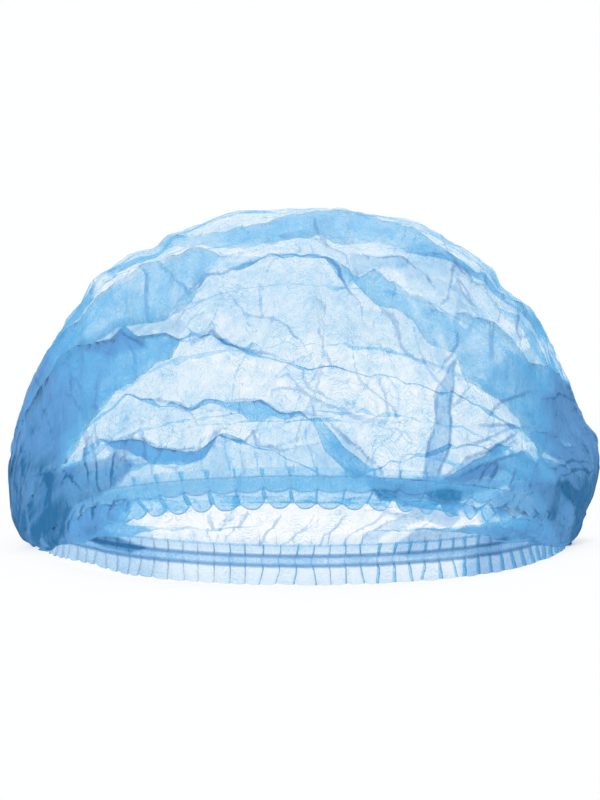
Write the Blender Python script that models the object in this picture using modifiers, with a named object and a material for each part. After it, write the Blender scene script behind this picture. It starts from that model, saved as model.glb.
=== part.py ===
"""A disposable hair cap, standing on its rim: a gathered dome of thin cloth whose lower edge
is folded into a front and a rear hem. A flat elastic runs inside each hem, and the two hems
and elastics are welded together at the left and right ends.

Metres, +Z up, X from end to end. The front of the cap faces -Y, and the origin is on the
surface that it stands on, in the middle of its footprint.
"""

import math

import bmesh
import bpy
from mathutils import Vector

# The rim is an oval, measured along the middle of the hem's wall, where the elastic sits.
RIM_WIDTH = 0.2360
RIM_DEPTH = 0.2000

# The cloth stands out from the hem's upper edge by these amounts where the cap is widest.
SIDE_OVERHANG = 0.0133
FRONT_OVERHANG = 0.0098
WIDEST_LEVEL = 0.0420
CAP_HEIGHT = 0.1550
CLOTH_WALL = 0.0012

# The hem: the ruffle below the middle of the elastic, and the doubled cloth above it.
RUFFLE_DROP = 0.0108
HEM_ABOVE = 0.0078
HEM_WALL = 0.0012
RUFFLE_FLARE = 0.0018
HEM_FLARE = 0.0016

# Pleats along each hem, measured along the rim.
FRONT_PLEAT_PITCH = 0.0070
REAR_PLEAT_PITCH = 0.0127
PLEAT_DEPTH = 0.0017
SCALLOP_RISE = 0.0023

# Flat elastics, on the inner face of each hem.
FRONT_ELASTIC_WIDTH = 0.0032
REAR_ELASTIC_WIDTH = 0.0058
ELASTIC_THICKNESS = 0.0008

# The weld at each end, which the hems and elastics run into, drawn out to a small tip.
WELD_WIDTH = 0.0070
WELD_GRIP = 0.0008
WELD_EDGE = 0.0008
WELD_TIP = 0.0014

# Gathers that the elastic draws up in the cloth above the hem, and the height of a full fold.
GATHERS = 36
GATHER_DEPTH = 0.0018
FOLD_HEIGHT = 0.0057

# Every piece keeps this gap to its neighbour.
SEAT_GAP = 0.0003

# How finely the cloth and the elastic are divided.
CROWN_COLUMNS = 2 * GATHERS
DOME_ROWS = 11
ELASTIC_STEPS = 36

# Sizes that follow from those above.
HEM_HEIGHT = RUFFLE_DROP + HEM_ABOVE
SEAT_LEVEL = HEM_HEIGHT + SEAT_GAP
SEAT_OUTWARD = HEM_FLARE + HEM_WALL / 2
HALF_RIM_WIDTH = RIM_WIDTH / 2
HALF_RIM_DEPTH = RIM_DEPTH / 2
HALF_WIDTH = HALF_RIM_WIDTH + SEAT_OUTWARD + SIDE_OVERHANG
HALF_DEPTH = HALF_RIM_DEPTH + SEAT_OUTWARD + FRONT_OVERHANG
DOME_RISE = CAP_HEIGHT - WIDEST_LEVEL

# The cloth from its seat on the hem to where the cap is widest. out is a share of the overhang.
# sag is how far it hangs below the seat at the ends, as a share of the seat's level, and the
# rises are shares of the way from the seat up to the widest level, at the ends and in front.
# gather is a share of the gathers' depth.
ROLL_SECTIONS = (
    {"out": 0.00, "sag": 0.00, "side_rise": 0.00, "front_rise": 0.00, "gather": 0.0},
    {"out": 0.00, "sag": 0.00, "side_rise": 0.10, "front_rise": 0.11, "gather": 0.0},
    {"out": 0.10, "sag": 0.00, "side_rise": 0.20, "front_rise": 0.20, "gather": 0.4},
    {"out": 0.28, "sag": 0.00, "side_rise": 0.09, "front_rise": 0.27, "gather": 0.8},
    {"out": 0.42, "sag": 0.39, "side_rise": 0.00, "front_rise": 0.34, "gather": 1.0},
    {"out": 0.56, "sag": 0.74, "side_rise": 0.00, "front_rise": 0.42, "gather": 1.0},
    {"out": 0.72, "sag": 0.85, "side_rise": 0.00, "front_rise": 0.50, "gather": 1.0},
    {"out": 0.87, "sag": 0.72, "side_rise": 0.00, "front_rise": 0.60, "gather": 1.0},
    {"out": 0.96, "sag": 0.39, "side_rise": 0.00, "front_rise": 0.70, "gather": 0.9},
    {"out": 1.00, "sag": 0.00, "side_rise": 0.15, "front_rise": 0.85, "gather": 0.7},
)

# The cloth from the widest level to the top. reach is a share of the half width or half depth,
# rise is a share of the way from the widest level to the top, and gather is as above.
DOME_SECTIONS = (
    {"reach": 1.000, "rise": 0.00, "gather": 0.6},
    {"reach": 0.945, "rise": 0.24, "gather": 0.4},
    {"reach": 0.865, "rise": 0.43, "gather": 0.1},
    {"reach": 0.757, "rise": 0.62, "gather": 0.0},
    {"reach": 0.585, "rise": 0.81, "gather": 0.0},
    {"reach": 0.420, "rise": 0.91, "gather": 0.0},
    {"reach": 0.240, "rise": 0.97, "gather": 0.0},
    {"reach": 0.000, "rise": 1.00, "gather": 0.0},
)

# The main folds and dents of the crown, each a straight line on the front, the rear or the top.
# Its two ends are given across the cap and along it, as shares: across is of the half width,
# and along is of the cap's height on the front and rear, and of the half depth on the top.
# spread is how far the fold reaches to each side, in the same shares, and height is a share of
# the full fold's, below zero for a dent.
FOLDS = (
    {"face": "top", "x0": -0.62, "y0": -0.16, "x1": 0.58, "y1": -0.10, "spread": 0.14, "height": 0.6},
    {"face": "top", "x0": -0.70, "y0": -0.42, "x1": 0.10, "y1": -0.34, "spread": 0.16, "height": -0.8},
    {"face": "top", "x0": -0.40, "y0": 0.30, "x1": 0.66, "y1": 0.24, "spread": 0.16, "height": -0.9},
    {"face": "front", "x0": -0.86, "y0": 0.60, "x1": -0.30, "y1": 0.90, "spread": 0.16, "height": 0.9},
    {"face": "front", "x0": 0.12, "y0": 0.90, "x1": 0.62, "y1": 0.58, "spread": 0.15, "height": 0.9},
    {"face": "front", "x0": -0.70, "y0": 0.57, "x1": 0.10, "y1": 0.49, "spread": 0.13, "height": -1.0},
    {"face": "front", "x0": 0.02, "y0": 0.52, "x1": 0.34, "y1": 0.33, "spread": 0.13, "height": -0.9},
    {"face": "front", "x0": 0.50, "y0": 0.70, "x1": 0.46, "y1": 0.32, "spread": 0.12, "height": 0.9},
    {"face": "front", "x0": -0.40, "y0": 0.74, "x1": -0.82, "y1": 0.34, "spread": 0.15, "height": -0.9},
    {"face": "front", "x0": 0.56, "y0": 0.62, "x1": 0.80, "y1": 0.34, "spread": 0.14, "height": -0.8},
    {"face": "rear", "x0": -0.74, "y0": 0.62, "x1": 0.36, "y1": 0.74, "spread": 0.15, "height": 0.9},
    {"face": "rear", "x0": -0.30, "y0": 0.50, "x1": 0.78, "y1": 0.56, "spread": 0.15, "height": -1.0},
    {"face": "rear", "x0": -0.84, "y0": 0.42, "x1": -0.20, "y1": 0.36, "spread": 0.12, "height": -0.8},
    {"face": "rear", "x0": 0.30, "y0": 0.88, "x1": 0.80, "y1": 0.50, "spread": 0.14, "height": 0.8},
)
# A fold reaches its full height this share of the way in from where its face begins.
FACE_FADE = 0.30

# The hem's wall below and above the elastic: up is a share of the height there, flare a share
# of the flare, and pleat a share of the pleats' depth.
RUFFLE_SECTIONS = (
    {"up": 0.00, "flare": 1.00, "pleat": 1.00},
    {"up": 0.55, "flare": 0.40, "pleat": 0.62},
    {"up": 1.00, "flare": 0.00, "pleat": 0.08},
)
UPPER_SECTIONS = (
    {"up": 0.00, "flare": 0.00, "pleat": 0.08},
    {"up": 1.00, "flare": 1.00, "pleat": 0.10},
)

# One pleat of each hem, in equal steps along the rim. push is its place between the inmost (-1)
# and the outmost (1) face of the ruffle, and lift is how far its edge rises from the surface
# below, as a share of the scallop's rise.
FRONT_PLEAT = (
    {"push": -1.0, "lift": 0.0},
    {"push": 0.1, "lift": 0.0},
    {"push": 1.0, "lift": 0.0},
)
REAR_PLEAT = (
    {"push": -1.0, "lift": 1.0},
    {"push": 0.3, "lift": 0.2},
    {"push": 1.0, "lift": 0.0},
    {"push": 0.3, "lift": 0.2},
)

BLUE_CLOTH = {"colour": (0.33, 0.62, 0.88, 1.0), "roughness": 0.75}
BLUE_HEM = {"colour": (0.26, 0.55, 0.84, 1.0), "roughness": 0.75}
BLUE_ELASTIC = {"colour": (0.20, 0.46, 0.76, 1.0), "roughness": 0.60}
BLUE_WELD = {"colour": (0.10, 0.34, 0.62, 1.0), "roughness": 0.50}


def clear_scene():
    """Removes whatever the scene holds."""
    for scene_object in list(bpy.data.objects):
        bpy.data.objects.remove(scene_object, do_unlink=True)


def plain_material(name, finish):
    """A Principled material in the piece's colour."""
    material = bpy.data.materials.new(name)
    material.use_nodes = True
    shader = material.node_tree.nodes["Principled BSDF"]
    shader.inputs["Base Color"].default_value = finish["colour"]
    shader.inputs["Roughness"].default_value = finish["roughness"]
    shader.inputs["Metallic"].default_value = 0.0
    return material


def new_piece(name, builder, finish, collection):
    """An object for a finished bmesh, smooth shaded, in the cap's collection."""
    mesh = bpy.data.meshes.new(name)
    bmesh.ops.recalc_face_normals(builder, faces=builder.faces)
    builder.to_mesh(mesh)
    builder.free()
    mesh.shade_smooth()
    mesh.set_sharp_from_angle(angle=math.radians(50))
    mesh.materials.append(plain_material(name, finish))
    piece = bpy.data.objects.new(name, mesh)
    collection.objects.link(piece)
    return piece


def add_wall(piece, thickness, offset):
    """Gives an open surface its thickness."""
    wall = piece.modifiers.new("wall", "SOLIDIFY")
    wall.thickness = thickness
    wall.offset = offset
    wall.use_even_offset = True


def bridge_rings(builder, rings, closed):
    """Quads between neighbouring rings of vertices, joined round where the rings are closed."""
    for lower, upper in zip(rings, rings[1:]):
        count = len(lower)
        for i in range(count if closed else count - 1):
            j = (i + 1) % count
            builder.faces.new((lower[i], lower[j], upper[j], upper[i]))


def rim_point(angle, outward, level):
    """A point at an angle round the rim's oval, moved outward from it, at a level."""
    x = (HALF_RIM_WIDTH + outward) * math.cos(angle)
    y = (HALF_RIM_DEPTH + outward) * math.sin(angle)
    return Vector((x, y, level))


def half_rim_length():
    """The length of half the rim's oval, by Ramanujan's formula."""
    a, b = HALF_RIM_WIDTH, HALF_RIM_DEPTH
    return math.pi * (3 * (a + b) - math.sqrt((3 * a + b) * (a + 3 * b))) / 2


def between_rows(rows, place):
    """The values of a table at a place between its rows, on a Catmull-Rom curve through them."""
    last = len(rows) - 1
    index = min(int(place), last - 1)
    part = place - index
    before, here = rows[max(index - 1, 0)], rows[index]
    after, beyond = rows[index + 1], rows[min(index + 2, last)]
    values = {}
    for column in here:
        p0, p1, p2, p3 = before[column], here[column], after[column], beyond[column]
        slope = (p2 - p0) * part
        bend = (2 * p0 - 5 * p1 + 4 * p2 - p3) * part**2
        twist = (3 * (p1 - p2) + p3 - p0) * part**3
        values[column] = (2 * p1 + slope + bend + twist) / 2
    return values


def roll_rings():
    """The crown's rings from the hem up to the widest level, as sizes, levels and gathers."""
    climb = WIDEST_LEVEL - SEAT_LEVEL
    for row in ROLL_SECTIONS:
        yield {
            "half_width": HALF_RIM_WIDTH + SEAT_OUTWARD + row["out"] * SIDE_OVERHANG,
            "half_depth": HALF_RIM_DEPTH + SEAT_OUTWARD + row["out"] * FRONT_OVERHANG,
            "side_level": SEAT_LEVEL * (1 - row["sag"]) + climb * row["side_rise"],
            "front_level": SEAT_LEVEL + climb * row["front_rise"],
            "gather": GATHER_DEPTH * row["gather"],
        }


def dome_rings():
    """The crown's rings from the widest level upwards. They leave out the top itself."""
    for step in range(DOME_ROWS):
        row = between_rows(DOME_SECTIONS, (len(DOME_SECTIONS) - 1) * step / DOME_ROWS)
        level = WIDEST_LEVEL + DOME_RISE * row["rise"]
        yield {
            "half_width": HALF_WIDTH * row["reach"],
            "half_depth": HALF_DEPTH * row["reach"],
            "side_level": level,
            "front_level": level,
            "gather": GATHER_DEPTH * row["gather"],
        }


def place_on_face(face, point):
    """Where a point lies on a face of the crown, in shares, and how squarely it faces it."""
    if face == "top":
        place = Vector((point.x / HALF_WIDTH, point.y / HALF_DEPTH))
        return place, (point.z - WIDEST_LEVEL) / DOME_RISE
    place = Vector((point.x / HALF_WIDTH, point.z / CAP_HEIGHT))
    toward = -1 if face == "front" else 1
    return place, toward * point.y / HALF_DEPTH


def fold_push(point):
    """How far the folds and dents push the crown outwards at a point."""
    total = 0.0
    for fold in FOLDS:
        place, facing = place_on_face(fold["face"], point)
        start = Vector((fold["x0"], fold["y0"]))
        run = Vector((fold["x1"], fold["y1"])) - start
        along = (place - start).dot(run) / run.length_squared
        aside = (place - start - run * along).length / fold["spread"]
        if facing <= 0 or not 0 < along < 1 or aside >= 1:
            continue
        fade = min(facing / FACE_FADE, 1)
        total += FOLD_HEIGHT * fold["height"] * fade * math.sin(math.pi * along) * (1 - aside)
    return total


def crown_point(ring, angle):
    """A point of the crown's outer face, with its gathers and folds."""
    side_share = math.cos(angle) ** 2
    level = ring["side_level"] * side_share + ring["front_level"] * (1 - side_share)
    gather = ring["gather"] * math.cos(GATHERS * angle)
    x = (ring["half_width"] + gather) * math.cos(angle)
    y = (ring["half_depth"] + gather) * math.sin(angle)
    point = Vector((x, y, level))
    if level <= WIDEST_LEVEL:
        return point
    up = (level - WIDEST_LEVEL) / DOME_RISE**2
    outward = Vector((x / HALF_WIDTH**2, y / HALF_DEPTH**2, up)).normalized()
    return point + outward * fold_push(point)


def make_crown(collection):
    """The dome of cloth: it rolls over the hem, hangs outside it at the ends, and closes."""
    builder = bmesh.new()
    rings = []
    for ring in [*roll_rings(), *dome_rings()]:
        angles = [2 * math.pi * column / CROWN_COLUMNS for column in range(CROWN_COLUMNS)]
        rings.append([builder.verts.new(crown_point(ring, angle)) for angle in angles])
    bridge_rings(builder, rings, closed=True)
    top = Vector((0, 0, CAP_HEIGHT))
    top.z += fold_push(top)
    peak = builder.verts.new(top)
    for i, corner in enumerate(rings[-1]):
        builder.faces.new((corner, rings[-1][(i + 1) % CROWN_COLUMNS], peak))
    crown = new_piece("crown", builder, BLUE_CLOTH, collection)
    add_wall(crown, CLOTH_WALL, offset=-1.0)
    return crown


def end_margin(inward):
    """The angle between the weld's middle and the end of a strip this far inside the rim."""
    return math.asin((WELD_WIDTH / 2 + SEAT_GAP) / (HALF_RIM_DEPTH - inward))


def hem_sections(elastic_width):
    """The hem's rows from its free edge to its top: level, flare and depth of the pleats."""
    below = RUFFLE_DROP - elastic_width / 2
    above = HEM_ABOVE - elastic_width / 2
    for row in RUFFLE_SECTIONS:
        yield below * row["up"], RUFFLE_FLARE * row["flare"], PLEAT_DEPTH * row["pleat"]
    for row in UPPER_SECTIONS:
        level = RUFFLE_DROP + elastic_width / 2 + above * row["up"]
        yield level, HEM_FLARE * row["flare"], PLEAT_DEPTH * row["pleat"]


def hem_loop(builder, angle, step, elastic_width):
    """One closed section through the hem's wall: up its outer face and down its inner one."""
    outer, inner = [], []
    for level, flare, depth in hem_sections(elastic_width):
        lift = SCALLOP_RISE * step["lift"] * (1 - level / HEM_HEIGHT) ** 2
        middle = flare + depth * step["push"]
        outer.append(rim_point(angle, middle + HEM_WALL / 2, level + lift))
        inner.append(rim_point(angle, middle - HEM_WALL / 2, level + lift))
    return [builder.verts.new(point) for point in [*outer, *reversed(inner)]]


def make_hem(name, first_angle, pitch, pleat, elastic_width, collection):
    """A pleated hem round one half of the rim, from one end's weld to the other's."""
    margin = end_margin(HEM_WALL / 2 + PLEAT_DEPTH)
    steps = round(half_rim_length() / pitch) * len(pleat)
    turn = (math.pi - 2 * margin) / steps
    builder = bmesh.new()
    loops = []
    for i in range(steps + 1):
        angle = first_angle + margin + turn * i
        loops.append(hem_loop(builder, angle, pleat[i % len(pleat)], elastic_width))
    bridge_rings(builder, loops, closed=True)
    for end in (loops[0], loops[-1]):
        for i in range(len(end) // 2 - 1):
            builder.faces.new((end[i], end[i + 1], end[-i - 2], end[-i - 1]))
    return new_piece(name, builder, BLUE_HEM, collection)


def elastic_inset():
    """How far the elastic's middle lies inside the rim's oval: on the hem's inner face."""
    pleats_there = PLEAT_DEPTH * RUFFLE_SECTIONS[-1]["pleat"]
    return HEM_WALL / 2 + pleats_there + SEAT_GAP + ELASTIC_THICKNESS / 2


def make_elastic(name, first_angle, width, collection):
    """A flat elastic on the inner face of one hem."""
    inset = elastic_inset()
    margin = end_margin(inset + ELASTIC_THICKNESS / 2)
    turn = (math.pi - 2 * margin) / ELASTIC_STEPS
    angles = [first_angle + margin + turn * i for i in range(ELASTIC_STEPS + 1)]
    builder = bmesh.new()
    edges = []
    for level in (RUFFLE_DROP - width / 2, RUFFLE_DROP + width / 2):
        edges.append([builder.verts.new(rim_point(angle, -inset, level)) for angle in angles])
    bridge_rings(builder, edges, closed=False)
    elastic = new_piece(name, builder, BLUE_ELASTIC, collection)
    add_wall(elastic, ELASTIC_THICKNESS, offset=0.0)
    return elastic


def make_weld(name, side, collection):
    """The weld at one end: a pinched block, drawn out to a tip at its lower outer edge."""
    inner = elastic_inset() + ELASTIC_THICKNESS / 2 + WELD_GRIP
    outer = HEM_WALL / 2 + max(RUFFLE_FLARE, HEM_FLARE)
    middle = HALF_RIM_WIDTH + (outer - inner) / 2
    builder = bmesh.new()
    bmesh.ops.create_cube(builder, size=1.0)
    for corner in builder.verts:
        tip = WELD_TIP if corner.co.x > 0 > corner.co.z else 0.0
        x = middle + corner.co.x * (outer + inner) + tip
        corner.co = (side * x, corner.co.y * WELD_WIDTH, (corner.co.z + 0.5) * HEM_HEIGHT)
    weld = new_piece(name, builder, BLUE_WELD, collection)
    edges = weld.modifiers.new("soft edges", "BEVEL")
    edges.width = WELD_EDGE
    edges.segments = 2
    return weld


def make_cap():
    """Builds every piece of the cap in a collection of its own."""
    collection = bpy.data.collections.new("disposable hair cap")
    bpy.context.scene.collection.children.link(collection)
    front, rear = math.pi, 0.0
    front_hem = (front, FRONT_PLEAT_PITCH, FRONT_PLEAT, FRONT_ELASTIC_WIDTH)
    rear_hem = (rear, REAR_PLEAT_PITCH, REAR_PLEAT, REAR_ELASTIC_WIDTH)
    make_crown(collection)
    make_hem("front_hem", *front_hem, collection)
    make_hem("rear_hem", *rear_hem, collection)
    make_elastic("front_elastic", front, FRONT_ELASTIC_WIDTH, collection)
    make_elastic("rear_elastic", rear, REAR_ELASTIC_WIDTH, collection)
    make_weld("left_weld", -1, collection)
    make_weld("right_weld", 1, collection)


clear_scene()
make_cap()
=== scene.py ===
# %% [markdown]
# # A disposable hair cap
# The real cap is one long strip of blue nonwoven cloth, thinner than paper. It is pleated like
# an accordion, welded across both ends, and edged on both long sides with a hem that holds a
# flat elastic. Pulled open, the pleats spread into a puffed dome. Here it stands on its rim on
# a pale floor, and light comes through it from all sides.
# The solids of the frame give its size and place. Everything that shows is modelled here.

# %% Load the frame
import math

import bmesh
import bpy
import numpy as np
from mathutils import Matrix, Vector


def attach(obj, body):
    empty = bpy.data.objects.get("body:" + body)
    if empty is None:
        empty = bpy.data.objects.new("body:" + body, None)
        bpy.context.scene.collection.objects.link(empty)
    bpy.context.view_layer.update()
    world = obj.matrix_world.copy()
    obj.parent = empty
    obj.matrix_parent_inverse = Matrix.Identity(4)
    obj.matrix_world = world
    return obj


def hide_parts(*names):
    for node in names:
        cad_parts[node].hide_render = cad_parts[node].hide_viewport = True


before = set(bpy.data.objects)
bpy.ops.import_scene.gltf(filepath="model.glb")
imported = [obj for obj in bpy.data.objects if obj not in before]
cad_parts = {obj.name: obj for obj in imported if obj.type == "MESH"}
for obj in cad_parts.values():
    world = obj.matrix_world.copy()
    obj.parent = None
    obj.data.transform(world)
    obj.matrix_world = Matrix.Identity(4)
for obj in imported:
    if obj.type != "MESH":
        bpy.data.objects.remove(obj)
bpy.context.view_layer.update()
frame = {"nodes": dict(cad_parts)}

print("nodes:", ", ".join(frame["nodes"]))

# %% [markdown]
# ## Sizes
# Each size is written once, in metres. The rim is an oval, and the hem stands on it. The
# crown starts at its seat on the hem, bulges past it, and closes over the top.

# %% Named sizes
HALF_RIM = np.array((0.118, 0.100))
HEM_HEIGHT = 0.0186
SEAT_OUTWARD = 0.0022
WIDEST_LEVEL = 0.042
CAP_HEIGHT = 0.155
OVERHANG = np.array((0.0133, 0.0098))
ELASTIC_LEVEL = 0.0108
ELASTIC_WIDTH = {"front": 0.0032, "rear": 0.0058}
PLEATS_ON_HEM = {"front": 49, "rear": 27}
MM = 0.001
half_size = HALF_RIM + SEAT_OUTWARD + OVERHANG

# %% [markdown]
# ## Camera, floor and light
# The camera comes first, so that every later step can be judged through it. It looks at the
# front of the cap from about nine degrees above the floor, through a long lens, which keeps the
# rim's oval as flat as it looks from a distance.

# %% Camera
CAMERA_TILT = math.radians(9.2)
CAMERA_DISTANCE = 3.05
CAMERA_LENS = 300
AIM = Vector((-0.0018, 0.0, 0.0671))
camera_data = bpy.data.cameras.new("camera")
camera_data.lens = CAMERA_LENS
camera = bpy.data.objects.new("camera", camera_data)
bpy.context.collection.objects.link(camera)
camera.location = AIM + CAMERA_DISTANCE * Vector((0, -math.cos(CAMERA_TILT), math.sin(CAMERA_TILT)))
camera.rotation_euler = (math.pi / 2 - CAMERA_TILT, 0, 0)
bpy.context.scene.camera = camera
print("camera at, m:", [round(v, 3) for v in camera.location])

# %% [markdown]
# The floor is a wide, pale disc. Its rim is far beyond the light, so it runs into the white of
# the room.

# %% Floor
def deselect_all():
    """Leaves nothing selected, and object mode on."""
    if bpy.context.object and bpy.context.object.mode != "OBJECT":
        bpy.ops.object.mode_set(mode="OBJECT")
    bpy.ops.object.select_all(action="DESELECT")


FLOOR_RADIUS = 9.0
deselect_all()
bpy.ops.mesh.primitive_circle_add(
    vertices=96, radius=FLOOR_RADIUS, fill_type="NGON", location=(0, 0, 0),
)
floor = bpy.context.object
floor.name = "floor"
print("floor faces:", len(floor.data.polygons))

# %% [markdown]
# A white world lights the cloth from every side. One soft sun above and in front draws the
# relief of the folds, and one behind the cap shines through it. Light has to pass many layers of
# see-through cloth, so it may cross more of them than Blender allows by itself.

# %% Light
ROOM_STRENGTH = 0.78
MOST_LAYERS_CROSSED = 64
world = bpy.data.worlds.new("white room")
world.use_nodes = True
background = world.node_tree.nodes["Background"]
background.inputs["Color"].default_value = (1.0, 1.0, 1.0, 1)
background.inputs["Strength"].default_value = ROOM_STRENGTH
bpy.context.scene.world = world
bpy.context.scene.view_settings.view_transform = "Standard"
bpy.context.scene.cycles.transparent_max_bounces = MOST_LAYERS_CROSSED
SUNS = (
    # softness is the sun's width in degrees
    {"name": "key", "from": (-0.7, -0.8, 1.3), "softness": 25, "strength": 0.75},
    {"name": "back", "from": (0.5, 0.9, 1.1), "softness": 40, "strength": 0.65},
)
for sun in SUNS:
    light = bpy.data.lights.new(sun["name"], "SUN")
    light.angle = math.radians(sun["softness"])
    light.energy = sun["strength"]
    holder = bpy.data.objects.new(sun["name"], light)
    bpy.context.collection.objects.link(holder)
    holder.location = sun["from"]
    holder.rotation_euler = Vector(sun["from"]).to_track_quat("Z", "Y").to_euler()
print("suns:", len(SUNS))

# %% [markdown]
# ## The crown's shape
# Seen from above, the crown is a stack of ovals. A table gives each oval's size and height. A
# smooth curve through its rows could be made with a spline object, but a short function keeps
# the numbers at hand for the pleats that follow the same surface.

# %% The crown's outline
# out is a share of the overhang. side and front are the heights above the floor, as shares of
# the widest level, at the ends and in front.
ROLL_ROWS = np.array([
    # out, side, front
    (0.00, 0.42, 0.42),
    (0.00, 0.50, 0.51),
    (0.10, 0.56, 0.56),
    (0.28, 0.50, 0.60),
    (0.42, 0.28, 0.64),
    (0.56, 0.12, 0.68),
    (0.72, 0.07, 0.72),
    (0.87, 0.13, 0.78),
    (0.96, 0.28, 0.83),
    (1.00, 0.53, 0.92),
])
# reach is a share of the half width and half depth, rise of the way from the widest level up.
DOME_ROWS = np.array([
    # reach, rise
    (1.000, 0.00),
    (0.945, 0.24),
    (0.865, 0.43),
    (0.757, 0.62),
    (0.585, 0.81),
    (0.420, 0.91),
    (0.240, 0.97),
    (0.000, 1.00),
])


def smooth_rows(rows, steps):
    """Points on a Catmull-Rom curve through the rows of a table, steps to each span."""
    padded = np.vstack([2 * rows[0] - rows[1], rows, 2 * rows[-1] - rows[-2]])
    part = np.arange(steps)[:, None] / steps
    spans = []
    for p0, p1, p2, p3 in zip(padded, padded[1:], padded[2:], padded[3:]):
        bend = (2 * p0 - 5 * p1 + 4 * p2 - p3) * part**2
        twist = (3 * (p1 - p2) + p3 - p0) * part**3
        spans.append((2 * p1 + (p2 - p0) * part + bend + twist) / 2)
    return np.vstack([*spans, rows[-1:]])


roll = np.column_stack([
    HALF_RIM[0] + SEAT_OUTWARD + ROLL_ROWS[:, 0] * OVERHANG[0],
    HALF_RIM[1] + SEAT_OUTWARD + ROLL_ROWS[:, 0] * OVERHANG[1],
    ROLL_ROWS[:, 1] * WIDEST_LEVEL,
    ROLL_ROWS[:, 2] * WIDEST_LEVEL,
])
dome_level = WIDEST_LEVEL + (CAP_HEIGHT - WIDEST_LEVEL) * DOME_ROWS[:, 1]
dome = np.column_stack([
    half_size[0] * DOME_ROWS[:, 0], half_size[1] * DOME_ROWS[:, 0], dome_level, dome_level,
])
STEPS_PER_ROW = 10
outline = smooth_rows(np.vstack([roll, dome]), STEPS_PER_ROW)
outline[-1, :2] = 0
side_steps = np.hypot(*np.diff(outline[:, [0, 2]], axis=0).T)
front_steps = np.hypot(*np.diff(outline[:, [1, 3]], axis=0).T)
way_up = np.concatenate([[0], np.cumsum((side_steps + front_steps) / 2)])
ROOT_TO_TOP = way_up[-1]
print("from seat to top, mm:", round(ROOT_TO_TOP * 1000))

# %% [markdown]
# The strip runs from one weld to the other, so its threads run that way too, and spread like
# the meridians of a globe on its side. The crown is laid out on a flat disc: its edge is the
# rim, its middle the top, and every line of the strip is an arc of a circle through the two
# welds. The disc is then lifted onto the ovals.

# %% From the strip to the crown
# The two ends aren't quite alike. Each row is a height in metres, and how many mm the left and
# the right end are drawn in there.
TRIM_ROWS = np.array([
    # height, left, right
    (0.002, 7.5, 17.0),
    (0.007, 3.8, 13.0),
    (0.013, 0.6, 10.0),
    (0.019, 0.2, 6.3),
    (0.025, 0.0, 3.0),
    (0.032, -0.6, 0.0),
    (0.042, -0.6, -1.4),
    (0.050, 0.0, -0.3),
    (0.058, 0.0, 12.2),
    (0.068, 0.0, 19.0),
    (0.080, 0.0, 29.0),
    (0.086, 0.0, 24.0),
    (0.092, 0.0, 4.4),
    (0.100, 0.0, 0.0),
])
# The higher these powers, the closer the trim keeps to the two ends and to the outside.
TRIM_TO_ENDS = 6
TRIM_TO_OUTSIDE = 4
LEAST_BOW = 1e-3


def disc_place(along, across):
    """A place on the disc. along is 0 to 1 from weld to weld, across 0 to 1 from front to rear."""
    bow = 2 * across - 1
    # The middle line is straight, so it is drawn as an arc of a very large circle
    bow = np.where(np.abs(bow) < LEAST_BOW, LEAST_BOW, bow)
    radius = (1 + bow**2) / (2 * np.abs(bow))
    turn = 2 * np.arctan(np.abs(bow)) * (2 * along - 1)
    sideways = radius * np.sin(turn)
    outward = radius * np.cos(turn) - radius + np.abs(bow)
    return sideways, np.sign(bow) * outward


def lift(sideways, outward):
    """The point of the smooth crown over a place on the disc, as an array of x, y and z."""
    reach = np.clip(np.hypot(sideways, outward), 0, 1)
    turn = np.arctan2(outward, sideways)
    way = (1 - reach) * ROOT_TO_TOP
    width, depth, side, front = (np.interp(way, way_up, column) for column in outline.T)
    end_share = np.cos(turn) ** 2
    height = side * end_share + front * (1 - end_share)
    left_trim, right_trim = (np.interp(height, TRIM_ROWS[:, 0], column) for column in TRIM_ROWS[:, 1:].T)
    trim = np.where(sideways < 0, left_trim, -right_trim) * MM
    trim = trim * np.abs(np.cos(turn)) ** TRIM_TO_ENDS * reach**TRIM_TO_OUTSIDE
    return np.stack([width * np.cos(turn) + trim, depth * np.sin(turn), height], axis=-1)


SMALL_STEP = 0.004
INSIDE_RIM = 0.995


def smooth_crown(along, across):
    """Points of the smooth crown and their outward directions."""
    sideways, outward = disc_place(along, across)
    # The directions are measured a little inside the rim, because there is no cloth past it
    x, y = sideways * INSIDE_RIM, outward * INSIDE_RIM
    right = lift(x + SMALL_STEP, y) - lift(x - SMALL_STEP, y)
    back = lift(x, y + SMALL_STEP) - lift(x, y - SMALL_STEP)
    normal = np.cross(right, back)
    normal /= np.linalg.norm(normal, axis=-1, keepdims=True) + 1e-12
    return lift(sideways, outward), normal


def length_of(line):
    """The length of a line of points."""
    return float(np.linalg.norm(np.diff(line, axis=0), axis=1).sum())


LINE_STEPS = 200
middle_line = smooth_crown(np.full(LINE_STEPS, 0.5), np.linspace(0, 1, LINE_STEPS))[0]
end_line = smooth_crown(np.linspace(0, 1, LINE_STEPS), np.full(LINE_STEPS, 0.5))[0]
print("over the middle, mm:", round(length_of(middle_line) * 1000))
print("end to end, mm:", round(length_of(end_line) * 1000))

# %% [markdown]
# The bands and creases of the cloth were read from the photo, so their tables hold pixels
# of its frame of 600 by 800. The camera frames the cap as the photo does, so each pixel belongs
# to the place on the front of the crown that shows there, and it is found on a fine grid.

# %% From a pixel to the strip
FRAME_WIDE = 600
FRAME_TALL = 800
GUIDE_COLUMNS = 700
GUIDE_ROWS = 400
# The grid reaches this share of the way from the front rim to the rear one.
GUIDE_REACH = 0.56
# A place counts as this many pixels off for each metre that it lies behind the frontmost one.
FRONT_FIRST = 60.0


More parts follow.
